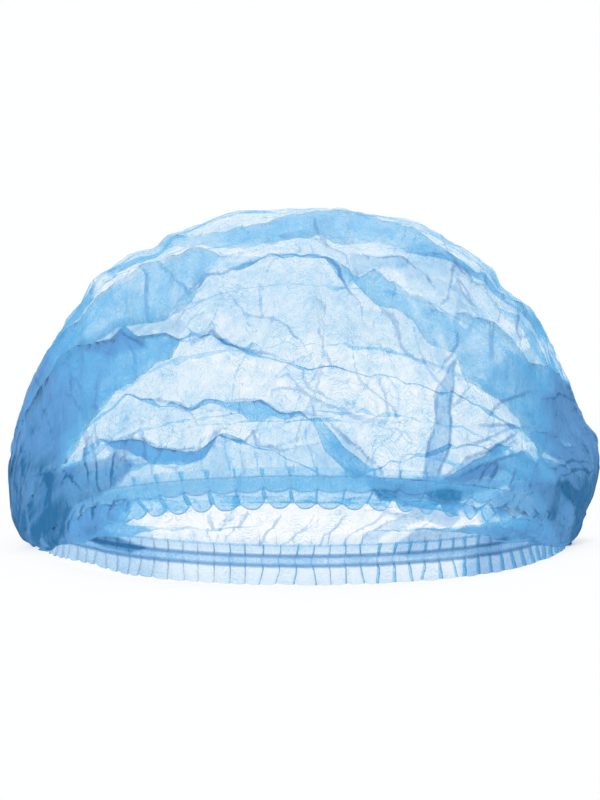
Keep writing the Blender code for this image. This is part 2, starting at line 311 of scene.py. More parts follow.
def in_picture(points):
    """Where points show in the photo's frame, in pixels from the left and from the top."""
    away = points - np.array(AIM)
    up = away[..., 2] * math.cos(CAMERA_TILT) + away[..., 1] * math.sin(CAMERA_TILT)
    depth = CAMERA_DISTANCE + away[..., 1] * math.cos(CAMERA_TILT) - away[..., 2] * math.sin(CAMERA_TILT)
    scale = camera_data.lens / camera_data.sensor_width * FRAME_TALL / depth
    return FRAME_WIDE / 2 + away[..., 0] * scale, FRAME_TALL / 2 - up * scale


guide_along, guide_across = np.meshgrid(
    np.linspace(0.01, 0.99, GUIDE_COLUMNS), np.linspace(0, GUIDE_REACH, GUIDE_ROWS), indexing="ij",
)
guide_points = lift(*disc_place(guide_along, guide_across))
guide_x, guide_y = in_picture(guide_points)
guide_behind = FRONT_FIRST * (guide_points[..., 1] - guide_points[..., 1].min())


def strip_place(x, y):
    """The place on the strip, along and across, of the cloth that shows in front at a pixel."""
    miss = np.hypot(guide_x - x, guide_y - y) + guide_behind
    nearest = np.unravel_index(np.argmin(miss), miss.shape)
    return guide_along[nearest], guide_across[nearest]


print("pixel 300, 300 is at", [round(float(v), 3) for v in strip_place(300, 300)], "of the strip")

# %% [markdown]
# ## The pleats
# Towards the welds there is more cloth than room, and the pleats that took it up are still
# closed there: the cloth runs forward, folds back on itself and runs forward again. In the
# middle most of them have opened and left a crease, and a few stay closed as a band. A table
# gives the two edges of each closed pleat. The rows of the mesh are laid along those edges, so
# that each fold is sharp, and see-through cloth is darker where it lies threefold.

# %% Table of the front's pleats
# left and right are rows near the welds: the place from the left weld (0) to the right one (1),
# and the pleat's two edges as places from the front rim (0) to the rear rim (1). lower and upper
# are the edges between them, as pixels of the photo.
FRONT_PLEATS = (
    {"left": ((0.00, 0.05, 0.10), (0.12, 0.05, 0.12), (0.22, 0.08, 0.11)),
     "lower": (), "upper": (),
     "right": ((0.74, 0.08, 0.10), (0.82, 0.06, 0.12), (1.00, 0.05, 0.10))},
    {"left": ((0.00, 0.12, 0.17), (0.12, 0.13, 0.19), (0.22, 0.14, 0.18)),
     "lower": ((105, 441), (120, 449), (150, 464), (195, 465), (205, 459), (218, 436), (330, 478),
               (443, 484), (470, 482), (505, 470)),
     "upper": ((105, 439), (139, 441), (158, 448), (197, 452), (206, 447), (218, 434), (330, 477),
               (443, 481), (470, 460), (492, 450), (508, 443), (518, 437)),
     "right": ((0.80, 0.13, 0.17), (1.00, 0.12, 0.17))},
    {"left": ((0.00, 0.19, 0.25), (0.12, 0.20, 0.25), (0.20, 0.185, 0.188)),
     "lower": ((124, 399), (150, 403), (177, 409), (190, 413), (209, 404), (225, 409), (250, 419),
               (290, 421), (312, 422), (324, 451), (339, 466), (354, 478)),
     "upper": ((124, 397), (150, 400), (177, 405), (190, 409), (209, 401), (247, 401), (262, 402),
               (280, 413), (300, 412), (318, 423), (339, 442), (356, 456), (372, 472)),
     "right": ((0.66, 0.172, 0.174), (0.80, 0.18, 0.20), (1.00, 0.19, 0.25))},
    {"left": ((0.00, 0.27, 0.34), (0.12, 0.25, 0.36)),
     "lower": ((60, 464), (71, 450), (83, 428), (97, 412), (108, 396), (124, 380), (140, 375),
               (158, 361), (170, 355), (180, 339), (204, 338), (248, 354), (302, 367)),
     "upper": ((70, 356), (84, 348), (112, 341), (124, 328), (140, 336), (181, 337), (204, 336),
               (219, 338), (248, 350), (302, 366)),
     "right": ((0.66, 0.222, 0.223), (0.73, 0.206, 0.214), (0.80, 0.21, 0.25), (1.00, 0.27, 0.34))},
    {"left": ((0.00, 0.36, 0.42), (0.12, 0.38, 0.44), (0.20, 0.372, 0.45)),
     "lower": ((84, 346), (100, 335), (124, 324), (166, 318), (180, 304), (192, 291), (206, 278),
               (240, 270), (270, 258), (325, 258), (346, 286), (352, 279), (375, 302), (412, 318),
               (430, 336), (454, 358), (468, 376), (504, 400), (528, 426), (544, 456)),
     "upper": ((92, 310), (112, 292), (158, 262), (202, 250), (222, 262), (262, 260), (290, 254),
               (325, 256), (352, 277), (375, 270), (400, 288), (440, 310), (464, 316), (480, 322),
               (510, 338), (528, 362)),
     "right": ((0.80, 0.26, 0.40), (0.90, 0.33, 0.42), (1.00, 0.36, 0.42))},
    {"left": ((0.00, 0.44, 0.50), (0.12, 0.45, 0.50), (0.30, 0.458, 0.480)),
     "lower": ((160, 246), (202, 245), (230, 249), (275, 240), (300, 232), (357, 236), (410, 247)),
     "upper": ((165, 240), (205, 235), (227, 234), (265, 224), (300, 217), (336, 211), (370, 218),
               (400, 230)),
     "right": ((0.66, 0.420, 0.425), (0.80, 0.43, 0.48), (1.00, 0.44, 0.50))},
)
print("pleats in front:", len(FRONT_PLEATS))

# %% [markdown]
# The rear of the crown only shows through the front, so its pleats are made up in the same
# manner: wide and closed near the welds, and no more than a crease in the middle.

# %% Table of the rear's pleats
# Each row is a place from weld to weld and the pleat's two edges.
REAR_PLEATS = (
    ((0.00, 0.54, 0.60), (0.18, 0.55, 0.60), (0.30, 0.565, 0.58), (0.45, 0.58, 0.583),
     (0.60, 0.57, 0.59), (0.78, 0.555, 0.60), (1.00, 0.54, 0.60)),
    ((0.00, 0.62, 0.68), (0.20, 0.63, 0.68), (0.32, 0.65, 0.655), (0.50, 0.66, 0.661),
     (0.66, 0.65, 0.655), (0.80, 0.63, 0.68), (1.00, 0.62, 0.68)),
    ((0.00, 0.70, 0.76), (0.20, 0.71, 0.76), (0.34, 0.735, 0.74), (0.52, 0.74, 0.741),
     (0.68, 0.73, 0.735), (0.82, 0.71, 0.76), (1.00, 0.70, 0.76)),
    ((0.00, 0.78, 0.84), (0.18, 0.79, 0.84), (0.30, 0.81, 0.82), (0.48, 0.815, 0.816),
     (0.70, 0.81, 0.82), (0.82, 0.79, 0.84), (1.00, 0.78, 0.84)),
    ((0.00, 0.86, 0.92), (0.16, 0.87, 0.92), (0.28, 0.885, 0.89), (0.50, 0.89, 0.891),
     (0.74, 0.885, 0.89), (0.84, 0.87, 0.92), (1.00, 0.86, 0.92)),
)
print("pleats behind:", len(REAR_PLEATS))

# %% [markdown]
# The crown's mesh is a grid. Its columns run from the front rim to the rear one, and stand a
# little closer in the middle, where the camera sees the cloth at full size. Room is how much
# cloth lies along each column.

# %% Columns of the mesh
COLUMNS = 400
MIDDLE_CROWDING = 0.8
CROWDED_SHARE = 0.22
END_GAP = 0.012
even = np.linspace(0, 1, 2001)
crowding = np.cumsum(1 + MIDDLE_CROWDING * np.exp(-(((even - 0.5) / CROWDED_SHARE) ** 2)))
crowding = (crowding - crowding[0]) / (crowding[-1] - crowding[0])
column_place = END_GAP + (1 - 2 * END_GAP) * np.interp(np.linspace(0, 1, COLUMNS + 1), crowding, even)
fine_points = smooth_crown(column_place[:, None], np.linspace(0, 1, 81)[None, :])[0]
room = np.linalg.norm(np.diff(fine_points, axis=1), axis=2).sum(axis=1)
print("columns:", COLUMNS + 1, "room at the middle, mm:", round(room.max() * 1000))

# %% [markdown]
# The rows follow the pleats' edges, which run in a small random zigzag, as a crumpled fold does.
# Between two edges the cloth runs forward, and across a pleat it takes a few rows back. Each
# layer keeps a small gap from the next. The front and the rear half meet at a seam over the top,
# because one mesh with all the rows would be too large for a piece.

# %% Rows along the pleats
ROWS = 248
BACK_ROWS = 4
LEAST_ROWS = 5
SEAM = 0.52
SEAM_MARGIN = 0.012
# A closed pleat is at least FINEST_FOLD wide. The gap between its layers grows by a share of its
# width, and GUARD is how close to a fold the next row lies, as a share of the way to the next fold.
FINEST_FOLD = 0.3 * MM
LAYER_GAP = 0.4 * MM
WIDE_FOLD_GAP = 0.05
GUARD = 0.006
JAG_SPACING = 0.011
JAG_SIZE = 0.9 * MM
JAG_SHIFT = 0.35
rng = np.random.default_rng(12)


def zigzag(place, spacing, size):
    """A random zigzag along the cloth: straight runs between knots about a spacing apart."""
    knots = np.arange(-spacing, 1 + 2 * spacing, spacing)
    knots = knots + rng.uniform(-JAG_SHIFT, JAG_SHIFT, len(knots)) * spacing
    return np.interp(place, knots, rng.normal(0, size, len(knots)))


def edge_on_strip(pleat, edge, column):
    """One edge of a pleat at every column, as places across the strip."""
    rows = [(row[0], row[column]) for side in ("left", "right") for row in pleat[side]]
    rows += [strip_place(x, y) for x, y in pleat[edge]]
    place, across = np.array(sorted(rows)).T
    return np.minimum(np.interp(column_place, place, across), SEAM - SEAM_MARGIN)


def pleated_rows(start, end, pleats):
    """For every column and row: the place from front to rear, and the lift off the smooth crown."""
    edges = []
    for low, high in pleats:
        low = low + zigzag(column_place, JAG_SPACING, JAG_SIZE) / room
        high = high + zigzag(column_place, JAG_SPACING, JAG_SIZE) / room
        edges.append((low, np.maximum(high, low + FINEST_FOLD / room)))
    starts = [np.full(COLUMNS + 1, start)] + [low for low, high in edges]
    stops = [high for low, high in edges] + [np.full(COLUMNS + 1, end)]
    gaps = [LAYER_GAP + WIDE_FOLD_GAP * (high - low) * room for low, high in edges]
    no_gap = np.zeros(COLUMNS + 1)
    lengths = np.array([float((stop - begin).mean()) for begin, stop in zip(starts, stops)])
    budget = ROWS - BACK_ROWS * len(pleats)
    counts = np.maximum(np.floor(budget * lengths / lengths.sum()).astype(int), LEAST_ROWS)
    counts[np.argmax(counts)] += budget - counts.sum()
    places, lifts = [starts[0]], [no_gap]
    for index, count in enumerate(counts):
        begin, stop = starts[index], stops[index]
        below = gaps[index - 1] if index else no_gap
        above = gaps[index] if index < len(edges) else no_gap
        part = np.linspace(0, 1, count - 1)
        part = np.concatenate([[0, GUARD], part[1:-1], [1 - GUARD, 1]])
        for share in part[1:]:
            places.append(begin + (stop - begin) * share)
            lifts.append(above * share**2 - below * (1 - share) ** 2)
        if index < len(edges):
            low, high = edges[index]
            for step in range(1, BACK_ROWS + 1):
                part = step / BACK_ROWS
                places.append(high + (low - high) * part)
                lifts.append(gaps[index] * (1 - 2 * part))
    return np.array(places).T, np.array(lifts).T


front_edges = []
for pleat in FRONT_PLEATS:
    front_edges.append([edge_on_strip(pleat, "lower", 1), edge_on_strip(pleat, "upper", 2)])
rear_edges = []
for table_rows in REAR_PLEATS:
    place, low, high = np.array(table_rows).T
    rear_edges.append([np.interp(column_place, place, low), np.interp(column_place, place, high)])
halves = {}
for side, start, end, edges in (("front", 0, SEAM, front_edges), ("rear", SEAM, 1, rear_edges)):
    across, lift_rows = pleated_rows(start, end, edges)
    along = np.repeat(column_place[:, None], across.shape[1], axis=1)
    points, normals = smooth_crown(along, across)
    halves[side] = {
        "along": along, "across": across, "points": points, "normals": normals, "lift": lift_rows,
    }
    # The same places in metres, along the strip and across it
    halves[side]["a"] = along * length_of(end_line)
    halves[side]["b"] = (across - 0.5) * room[:, None]
    print(side, "rows:", across.shape[1], "triangles:", 2 * COLUMNS * (across.shape[1] - 1))

# %% [markdown]
# ## Crumples
# Nonwoven cloth creases like paper: flat facets meet along sharp lines, large ones first and
# smaller ones inside them. A cell pattern has just such facets, and gives the broad relief.

# %% Cells and noise
# A pattern repeats after so many squares, and starts so many squares on, so that none is below 0.
PATTERN_SQUARES = 64
PATTERN_START = 500
FAR_OFF = 9.0


def smooth_step(value):
    """0 below 0, 1 above 1, and a smooth rise between."""
    value = np.clip(value, 0, 1)
    return value * value * (3 - 2 * value)


def in_squares(a, b, size):
    """Places counted in squares of a size, and the column and row of each one's square."""
    x, y = a / size + PATTERN_START, b / size + PATTERN_START
    return x, y, np.floor(x).astype(int), np.floor(y).astype(int)


def cells(a, b, size, seed):
    """Distances to the nearest and next nearest of scattered points, as shares of the spacing."""
    jitter = np.random.default_rng(seed).random((PATTERN_SQUARES, PATTERN_SQUARES, 2))
    x, y, column, row = in_squares(a, b, size)
    nearest = np.full(x.shape, FAR_OFF)
    second = np.full(x.shape, FAR_OFF)
    for dx in (-1, 0, 1):
        for dy in (-1, 0, 1):
            spot = jitter[(column + dx) % PATTERN_SQUARES, (row + dy) % PATTERN_SQUARES]
            distance = np.hypot(column + dx + spot[..., 0] - x, row + dy + spot[..., 1] - y)
            second = np.minimum(second, np.maximum(nearest, distance))
            nearest = np.minimum(nearest, distance)
    return nearest, second


def soft_noise(a, b, size, seed):
    """Smooth noise from -1 to 1 with features of a given size."""
    values = np.random.default_rng(seed).random((PATTERN_SQUARES, PATTERN_SQUARES)) * 2 - 1
    x, y, column, row = in_squares(a, b, size)
    u, v = smooth_step(x - column), smooth_step(y - row)
    lower, upper = (
        values[column % PATTERN_SQUARES, (row + dy) % PATTERN_SQUARES] * (1 - u)
        + values[(column + 1) % PATTERN_SQUARES, (row + dy) % PATTERN_SQUARES] * u
        for dy in (0, 1)
    )
    return lower * (1 - v) + upper * v


print("noise helpers ready")

# %% [markdown]
# The facets' borders would be straight lines, so the places are first bent a little by smooth
# noise. A second, smaller push in all directions crinkles a copy of the cloth. It isn't seen
# itself: the creases and dark fields are measured on it, which makes their edges jagged.

# %% Facets and crinkles
CRUMPLES = (
    # size and depth in mm
    {"size": 46, "depth": 3.2, "seed": 3},
    {"size": 25, "depth": -1.9, "seed": 5},
    {"size": 13, "depth": 1.0, "seed": 8},
    {"size": 7, "depth": -0.55, "seed": 13},
    {"size": 4, "depth": 0.3, "seed": 21},
)
CRINKLES = (
    # size and push in mm
    (13.0, 1.3),
    (6.0, 0.8),
    (3.0, 0.4),
)
CRINKLE_SEED = 200
BEND = 8 * MM
# The facets are a little longer along the strip than across it.
ALONG_SHARE = 0.8
MIDDLE_OF_CELL = 0.35
NO_CREASE = 9.0
for half in halves.values():
    bent_a = half["a"] + BEND * soft_noise(half["a"], half["b"], 26 * MM, 31)
    bent_b = half["b"] + BEND * soft_noise(half["a"], half["b"], 24 * MM, 32)
    half["relief"] = np.zeros_like(half["a"])
    half["crease"] = np.full_like(half["a"], NO_CREASE)
    half["layers"] = np.zeros_like(half["a"])
    for crumple in CRUMPLES:
        nearest, second = cells(bent_a * ALONG_SHARE, bent_b, crumple["size"] * MM, crumple["seed"])
        half["relief"] += crumple["depth"] * MM * (second - nearest - MIDDLE_OF_CELL)
    push = np.zeros_like(half["points"])
    for index, (size, depth) in enumerate(CRINKLES):
        for axis in range(3):
            noise = soft_noise(
                half["a"] * ALONG_SHARE, half["b"], size * MM, CRINKLE_SEED + 10 * index + axis,
            )
            push[..., axis] += depth * MM * noise
    half["crinkled"] = half["points"] + push
    print("relief, mm:", round(half["relief"].min() * 1000, 1), "to", round(half["relief"].max() * 1000, 1))

# %% [markdown]
# ## Layers
# Where more cloth lies closed than the mesh has folds for, the cloth says how many extra layers
# lie there, and the material darkens by that number. The patches below were read from the photo.
# A number below 0 makes a field lighter. The edges are crisp, but jagged like those of
# any crumpled fold, so a pattern of noise shifts them.

# %% Table of patches with extra layers
# Each row is a patch: its name, its extra layers, how many pixels its edge takes to fade in, how
# many the edge wanders, and its outline in pixels of the photo.
PATCHES = (
    ("left end", 1.7, 4, 5, (
        (83, 343), (133, 330), (180, 339), (164, 357), (131, 375), (108, 395), (94, 414), (78, 431),
        (68, 455), (55, 470), (-20, 475), (-20, 380), (60, 356))),
    ("left end, inner part", 1.2, 12, 9, (
        (84, 346), (116, 336), (112, 370), (98, 396), (84, 420), (66, 444), (50, 470), (-20, 475),
        (-20, 380), (60, 358))),
    ("left end, darker side", 0.7, 16, 8, (
        (20, 370), (60, 372), (72, 400), (66, 440), (50, 480), (-20, 480), (-20, 400))),
    ("left shoulder", 1.3, 4, 2, (
        (84, 346), (92, 300), (100, 275), (60, 300), (20, 380), (60, 358))),
    ("left upper band", 0.3, 3, 2, (
        (86, 346), (92, 312), (112, 291), (140, 270), (158, 262), (202, 250), (222, 256), (208, 276),
        (192, 291), (180, 304), (166, 316), (140, 320), (112, 330))),
    ("strip along the left silhouette", 0.9, 3, 1, (
        (92, 300), (106, 279), (136, 266), (160, 242), (190, 236), (186, 224), (150, 236), (100, 262),
        (80, 300))),
    ("light strip on the left", -1.4, 3, 1, (
        (92, 302), (95, 296), (105, 281), (136, 268), (140, 271), (112, 291), (94, 307))),
    ("light strip further up", -0.8, 3, 1, (
        (153, 255), (163, 248), (180, 244), (204, 244), (194, 250), (172, 257), (156, 260))),
    ("pale strip under the upper edge", -0.3, 4, 3, (
        (187, 231), (232, 214), (284, 210), (270, 221), (249, 228), (228, 234), (190, 235))),
    ("pale leaf on the left", -0.4, 4, 2, (
        (232, 248), (272, 245), (277, 255), (239, 264), (225, 274), (213, 274))),
    ("left corner", 4.6, 22, 3, (
        (-30, 462), (60, 462), (52, 500), (47, 530), (50, 566), (-30, 566))),
    ("left corner, edge", 3.0, 3, 1, (
        (36, 482), (47, 478), (48, 500), (45, 530), (46, 560), (30, 556), (34, 520))),
    ("left of the rear elastic", 6.4, 4, 3, (
        (47, 474), (60, 470), (75, 467), (86, 466), (96, 459), (110, 456), (119, 451), (128, 458),
        (140, 464), (132, 470), (122, 480), (116, 488), (104, 496), (92, 500), (78, 503), (68, 515),
        (62, 540), (52, 552), (44, 520))),
    ("pleats left of the opening", 3.0, 4, 2, (
        (50, 552), (62, 516), (80, 500), (108, 494), (128, 492), (132, 502), (118, 522), (96, 530),
        (84, 544), (66, 556))),
    ("light spot beside the left end", -4.0, 3, 1, (
        (60, 460), (66, 454), (75, 456), (76, 462), (69, 466), (62, 465))),
    ("light leaf beside the left end", -2.4, 3, 1, (
        (72, 452), (77, 438), (88, 432), (88, 452), (85, 462), (78, 460))),
    ("leaf over the left gathers", 3.4, 2, 1, (
        (100, 437), (120, 438), (139, 440), (154, 447), (170, 451), (192, 452), (206, 447),
        (217, 434), (214, 448), (205, 460), (194, 466), (150, 465), (135, 460), (116, 450))),
    ("gathers over the rear elastic", 0.9, 3, 2, (
        (116, 450), (150, 465), (194, 466), (206, 459), (217, 436), (232, 446), (246, 442), (256, 446),
        (290, 449), (320, 443), (345, 438), (362, 450), (380, 478), (380, 484), (110, 488))),
    ("long leaf", 0.9, 2, 1, (
        (208, 401), (228, 401), (250, 402), (264, 404), (280, 411), (300, 412), (324, 419), (312, 422),
        (276, 420), (250, 418), (230, 411))),
    ("hump", 0.6, 2, 1, (
        (322, 418), (334, 428), (346, 437), (363, 450), (378, 467), (386, 482), (372, 480), (360, 471),
        (346, 461), (334, 449), (324, 434))),
    ("under the hump", 0.3, 4, 2, (
        (300, 424), (322, 428), (346, 461), (370, 482), (300, 482), (296, 450))),
    ("fold under the hump", 1.6, 2, 1, (
        (346, 466), (352, 462), (366, 472), (388, 480), (372, 484), (356, 478))),
    ("spindle", 3.3, 2, 1, (
        (453, 356), (453, 380), (452, 405), (449, 430), (445, 455), (441, 480), (421, 480), (424, 455),
        (428, 432), (434, 408), (442, 384))),
    ("leaf in the long crease", 1.3, 1.8, 1, (
        (211, 329), (222, 337), (236, 344), (252, 350), (270, 355), (292, 363), (268, 359), (246, 354),
        (230, 350), (217, 339))),
    ("right wedge", 2.4, 3, 2, (
        (440, 482), (462, 466), (486, 452), (508, 442), (519, 435), (514, 446), (502, 458), (528, 456),
        (540, 470), (530, 490), (486, 484))),
    ("right wedge, low", 3.0, 4, 1, (
        (432, 484), (460, 474), (492, 462), (506, 468), (490, 480), (462, 486))),
    ("light leaf in the right wedge", -1.6, 3, 2, (
        (502, 450), (522, 432), (532, 436), (541, 456), (540, 464), (520, 456), (504, 456))),
    ("right band, lower part", 0.4, 5, 3, (
        (452, 318), (466, 330), (482, 326), (498, 338), (512, 352), (506, 374), (490, 388), (470, 372),
        (456, 352), (446, 336))),
    ("right side", 1.35, 8, 6, (
        (508, 350), (534, 362), (572, 392), (620, 450), (620, 505), (560, 500), (548, 480), (540, 462),
        (530, 440), (518, 424), (500, 402), (488, 386))),
    ("right side, outer part", 2.0, 16, 8, (
        (546, 372), (580, 392), (620, 450), (620, 505), (566, 500), (560, 470), (552, 440), (546, 410))),
    ("fold across the right side", 1.6, 8, 4, (
        (540, 396), (560, 384), (584, 398), (592, 424), (570, 424), (550, 418))),
    ("right corner", 4.0, 10, 4, (
        (546, 480), (562, 484), (580, 478), (620, 480), (620, 560), (572, 552), (556, 534), (550, 510))),
    ("right corner, darkest fold", 8.0, 4, 2, (
        (560, 484), (566, 482), (574, 490), (600, 486), (596, 506), (586, 518), (572, 536), (566, 526),
        (576, 506), (564, 498))),
    ("right underside", 2.2, 5, 2, (
        (496, 530), (510, 524), (536, 524), (560, 530), (584, 548), (540, 580), (500, 580), (490, 560))),
    ("bag under the dark elastic", 3.4, 3, 2, (
        (392, 500), (420, 505), (455, 506), (462, 517), (452, 524), (430, 522), (412, 514))),
    ("fold crossing on the left", 2.4, 4, 2, (
        (86, 350), (110, 340), (117, 326), (130, 332), (150, 347), (128, 352), (108, 356))),
    ("pale field right of the hump", -0.55, 10, 3, (
        (345, 425), (400, 430), (430, 440), (425, 470), (392, 474), (376, 455), (360, 440))),
    ("dark edge over the rear elastic", 0.3, 3, 1, (
        (96, 462), (120, 452), (142, 464), (128, 474), (112, 486), (96, 490))),
    ("leaf in the opening", 1.9, 3, 1, (
        (360, 541), (368, 530), (380, 522), (398, 514), (420, 517), (430, 522), (402, 527), (384, 533),
        (372, 542))),
    ("fan beside the right corner", 4.0, 8, 4, (
        (500, 490), (535, 480), (562, 484), (562, 512), (550, 524), (520, 518), (498, 506))),
    ("top ridge", 0.65, 4, 2, (
        (225, 236), (262, 225), (300, 216), (336, 211), (372, 217), (400, 228), (396, 236), (370, 233),
        (330, 230), (300, 234), (265, 240), (232, 247))),
    ("band beside the top", 0.7, 3, 1, (
        (296, 234), (312, 236), (324, 244), (338, 252), (348, 262), (352, 276), (346, 286), (338, 270),
        (326, 258), (296, 258))),
    ("fold right of the top", 1.8, 3, 1, (
        (350, 255), (372, 254), (384, 258), (402, 256), (412, 263), (404, 269), (390, 269), (374, 268),
        (362, 272), (351, 279))),
    ("pale field right of the top", -0.2, 4, 2, (
        (330, 233), (393, 236), (406, 254), (380, 254), (348, 252), (334, 245))),
    ("upper right", 1.15, 6, 4, (
        (420, 258), (452, 254), (480, 266), (520, 306), (548, 346), (530, 362), (508, 344), (486, 324),
        (470, 330), (460, 314), (426, 302), (406, 280), (404, 260))),
    ("light band above the right band", -0.7, 4, 2, (
        (378, 270), (393, 271), (433, 292), (444, 306), (470, 322), (472, 332), (449, 315), (431, 305),
        (406, 290))),
    ("light field at the upper right", -0.3, 4, 2, (
        (459, 275), (490, 285), (499, 307), (499, 321), (476, 314), (466, 295))),
    ("light leaf at the right", -1.0, 3, 1, (
        (499, 305), (515, 330), (511, 338), (499, 324))),
    ("light window at the right", -2.4, 3, 1, (
        (521, 326), (531, 338), (526, 355), (519, 348))),
    ("light streaks at the right edge", -2.2, 4, 2, (
        (539, 336), (556, 344), (564, 384), (550, 374), (540, 350))),
    ("left wedge in the opening", 3.0, 3, 1, (
        (84, 530), (92, 529), (106, 533), (122, 540), (146, 548), (130, 552), (104, 546), (86, 538))),
    ("crepe on the left", 0.7, 5, 4, (
        (96, 424), (112, 404), (130, 398), (152, 402), (178, 408), (192, 413), (160, 424), (130, 432),
        (104, 440), (84, 452))),
    ("crepe in the middle", 0.4, 5, 4, (
        (140, 330), (168, 316), (186, 300), (212, 288), (224, 300), (216, 318), (200, 334), (170, 336))),
    ("upper middle", 0.55, 18, 6, (
        (215, 300), (250, 272), (325, 262), (350, 300), (390, 330), (380, 350), (300, 330), (240, 330))),
    ("pale middle", -0.5, 22, 6, (
        (240, 345), (300, 338), (380, 345), (440, 370), (470, 420), (420, 470), (380, 440), (330, 400),
        (260, 395), (180, 395), (150, 385), (190, 355))),
    ("pleats over the left wedge", 1.6, 3, 1, (
        (92, 530), (100, 522), (112, 519), (122, 519), (132, 524), (144, 528), (156, 538), (160, 552),
        (140, 552), (110, 540))),
    ("panels right of the opening", 3.8, 3, 1, (
        (392, 552), (400, 538), (415, 531), (434, 527), (452, 530), (470, 526), (500, 524), (512, 530),
        (500, 556), (430, 556))),
    ("field right of the top", 0.9, 8, 3, (
        (352, 262), (384, 268), (400, 290), (412, 318), (430, 340), (446, 356), (440, 384), (424, 384),
        (404, 344), (392, 318), (366, 300), (352, 284))),
    ("left corner, low", 3.6, 14, 2, (
        (20, 512), (32, 504), (45, 504), (46, 522), (45, 546), (34, 540), (22, 528))),
    ("light field over the hump", -0.8, 4, 2, (
        (190, 448), (206, 430), (222, 420), (250, 424), (262, 434), (246, 440), (226, 436), (212, 446))),
    ("pale patch under the right fold", -0.5, 4, 2, (
        (368, 270), (385, 268), (398, 285), (402, 300), (386, 302), (366, 290))),
    ("gathers left over the rear elastic", 1.2, 4, 2, (
        (95, 482), (150, 482), (165, 488), (150, 497), (98, 500))),
    ("field at the upper right", 1.0, 6, 3, (
        (395, 246), (430, 244), (470, 262), (478, 276), (450, 276), (410, 280), (398, 270))),
    ("field under the upper right", 0.4, 8, 3, (
        (402, 285), (450, 285), (460, 310), (450, 345), (420, 320))),
    ("pleats over the front hem", 0.8, 6, 2, (
        (170, 533), (230, 535), (300, 537), (350, 534), (400, 529), (400, 548), (350, 556),
        (250, 557), (170, 553))),
    ("pale lower right edge", -2.5, 5, 1, (
        (590, 505), (584, 520), (576, 536), (562, 552), (552, 560), (600, 570), (610, 500))),
    ("pale lower left edge", -2.0, 5, 1, (
        (0, 440), (14, 446), (14, 495), (18, 520), (30, 540), (46, 552), (30, 565), (-10, 540))),
    ("pale left edge", -0.9, 5, 1, (
        (50, 335), (54, 350), (44, 372), (36, 396), (24, 410), (10, 410), (30, 360))),
    ("light field beside the right band", -0.5, 5, 2, (
        (455, 362), (480, 358), (500, 380), (530, 405), (545, 425), (520, 425), (490, 400), (465, 388))),
    ("light strip over the dark elastic", -0.8, 3, 1, (
        (380, 472), (400, 471), (428, 473), (424, 481), (400, 482), (382, 480))),
    ("strip over the left band", 1.8, 4, 2, (
        (92, 335), (112, 322), (135, 316), (165, 316), (186, 322), (180, 333), (140, 331),
        (124, 327), (100, 339))),
    ("pale right edge", -1.4, 4, 2, (
        (548, 345), (562, 358), (578, 392), (594, 428), (604, 450), (590, 446), (572, 414),
        (560, 387), (548, 364))),
    ("field under the long fold", 0.9, 6, 3, (
        (318, 448), (338, 458), (360, 474), (382, 492), (330, 492), (316, 472))),
    ("beside the left corner", 1.3, 6, 2, (
        (48, 500), (66, 496), (84, 500), (78, 520), (66, 540), (54, 552), (46, 530))),
    ("field beside the spindle", 0.45, 6, 3, (
        (455, 396), (476, 388), (500, 402), (506, 424), (500, 440), (476, 446), (456, 440))),
    ("field left of the spindle", 0.5, 5, 2, (
        (424, 400), (432, 396), (428, 432), (422, 470), (414, 470), (416, 430))),
    ("shade of the right corner", 1.6, 8, 3, (
        (536, 462), (560, 470), (566, 490), (560, 520), (580, 530), (570, 544), (550, 520), (536, 490))),
    ("field under the left band", 0.5, 8, 3, (
        (112, 392), (140, 384), (186, 362), (240, 372), (236, 396), (200, 402), (150, 398))),
    ("gathers at the left of the scallops", 1.0, 3, 1, (
        (214, 440), (222, 436), (228, 452), (226, 478), (214, 480), (210, 460))),
    ("opening", -0.93, 6, 2, (
        (136, 508), (200, 497), (300, 494), (420, 503), (480, 514), (478, 526), (400, 533), (380, 540),
        (300, 542), (200, 541), (150, 530))),
)
print("patches:", len(PATCHES), "darkest:", max(PATCHES, key=lambda patch: patch[1])[0])

# %% [markdown]
# How far a point lies inside a patch is measured in the picture, on the crinkled copy of the
# cloth. The layers then fade in over the patch's edge.

# %% Layers from the patches
SEAM_FADE = 18 * MM


def inside_outline(outline, x, y):
    """How many pixels each place lies inside a closed outline, and below 0 outside it."""
    nearest = np.full(x.shape, 1e9)
    inside = np.zeros(x.shape, dtype=bool)
    for (x0, y0), (x1, y1) in zip(outline, outline[1:] + outline[:1]):
        run_x, run_y = x1 - x0, y1 - y0
        share = np.clip(((x - x0) * run_x + (y - y0) * run_y) / (run_x**2 + run_y**2), 0, 1)
        nearest = np.minimum(nearest, np.hypot(x - x0 - share * run_x, y - y0 - share * run_y))
        if y0 != y1:
            crosses = (y > y0) != (y > y1)
            inside ^= crosses & (x < x0 + (y - y0) * run_x / run_y)
    return np.where(inside, nearest, -nearest)


front = halves["front"]
picture_x, picture_y = in_picture(front["crinkled"])
wander = 0.7 * soft_noise(front["a"], front["b"], 15 * MM, 401)
wander += 0.5 * soft_noise(front["a"], front["b"], 5 * MM, 402)
# The patches fade out before the seam, so that the sides show no edge there
seam_fade = smooth_step((SEAM - front["across"]) * room[:, None] / SEAM_FADE + 0.1)
for name, extra, fade, ragged, outline_points in PATCHES:
    inwards = inside_outline(outline_points, picture_x, picture_y) + ragged * wander
    front["layers"] += extra * smooth_step(inwards / fade + 0.5) * seam_fade
print("extra layers in front:", round(front["layers"].min(), 1), "to", round(front["layers"].max(), 1))

# %% [markdown]
# ## Creases
# The creases that catch the eye are longer than the facets. Each is a thin sharp line on a low
# ridge. The longest ones in front have their own table. Each point of the mesh keeps its
# distance to the nearest crease, because a line drawn from a distance stays sharp between
# points, where a painted one would blur.

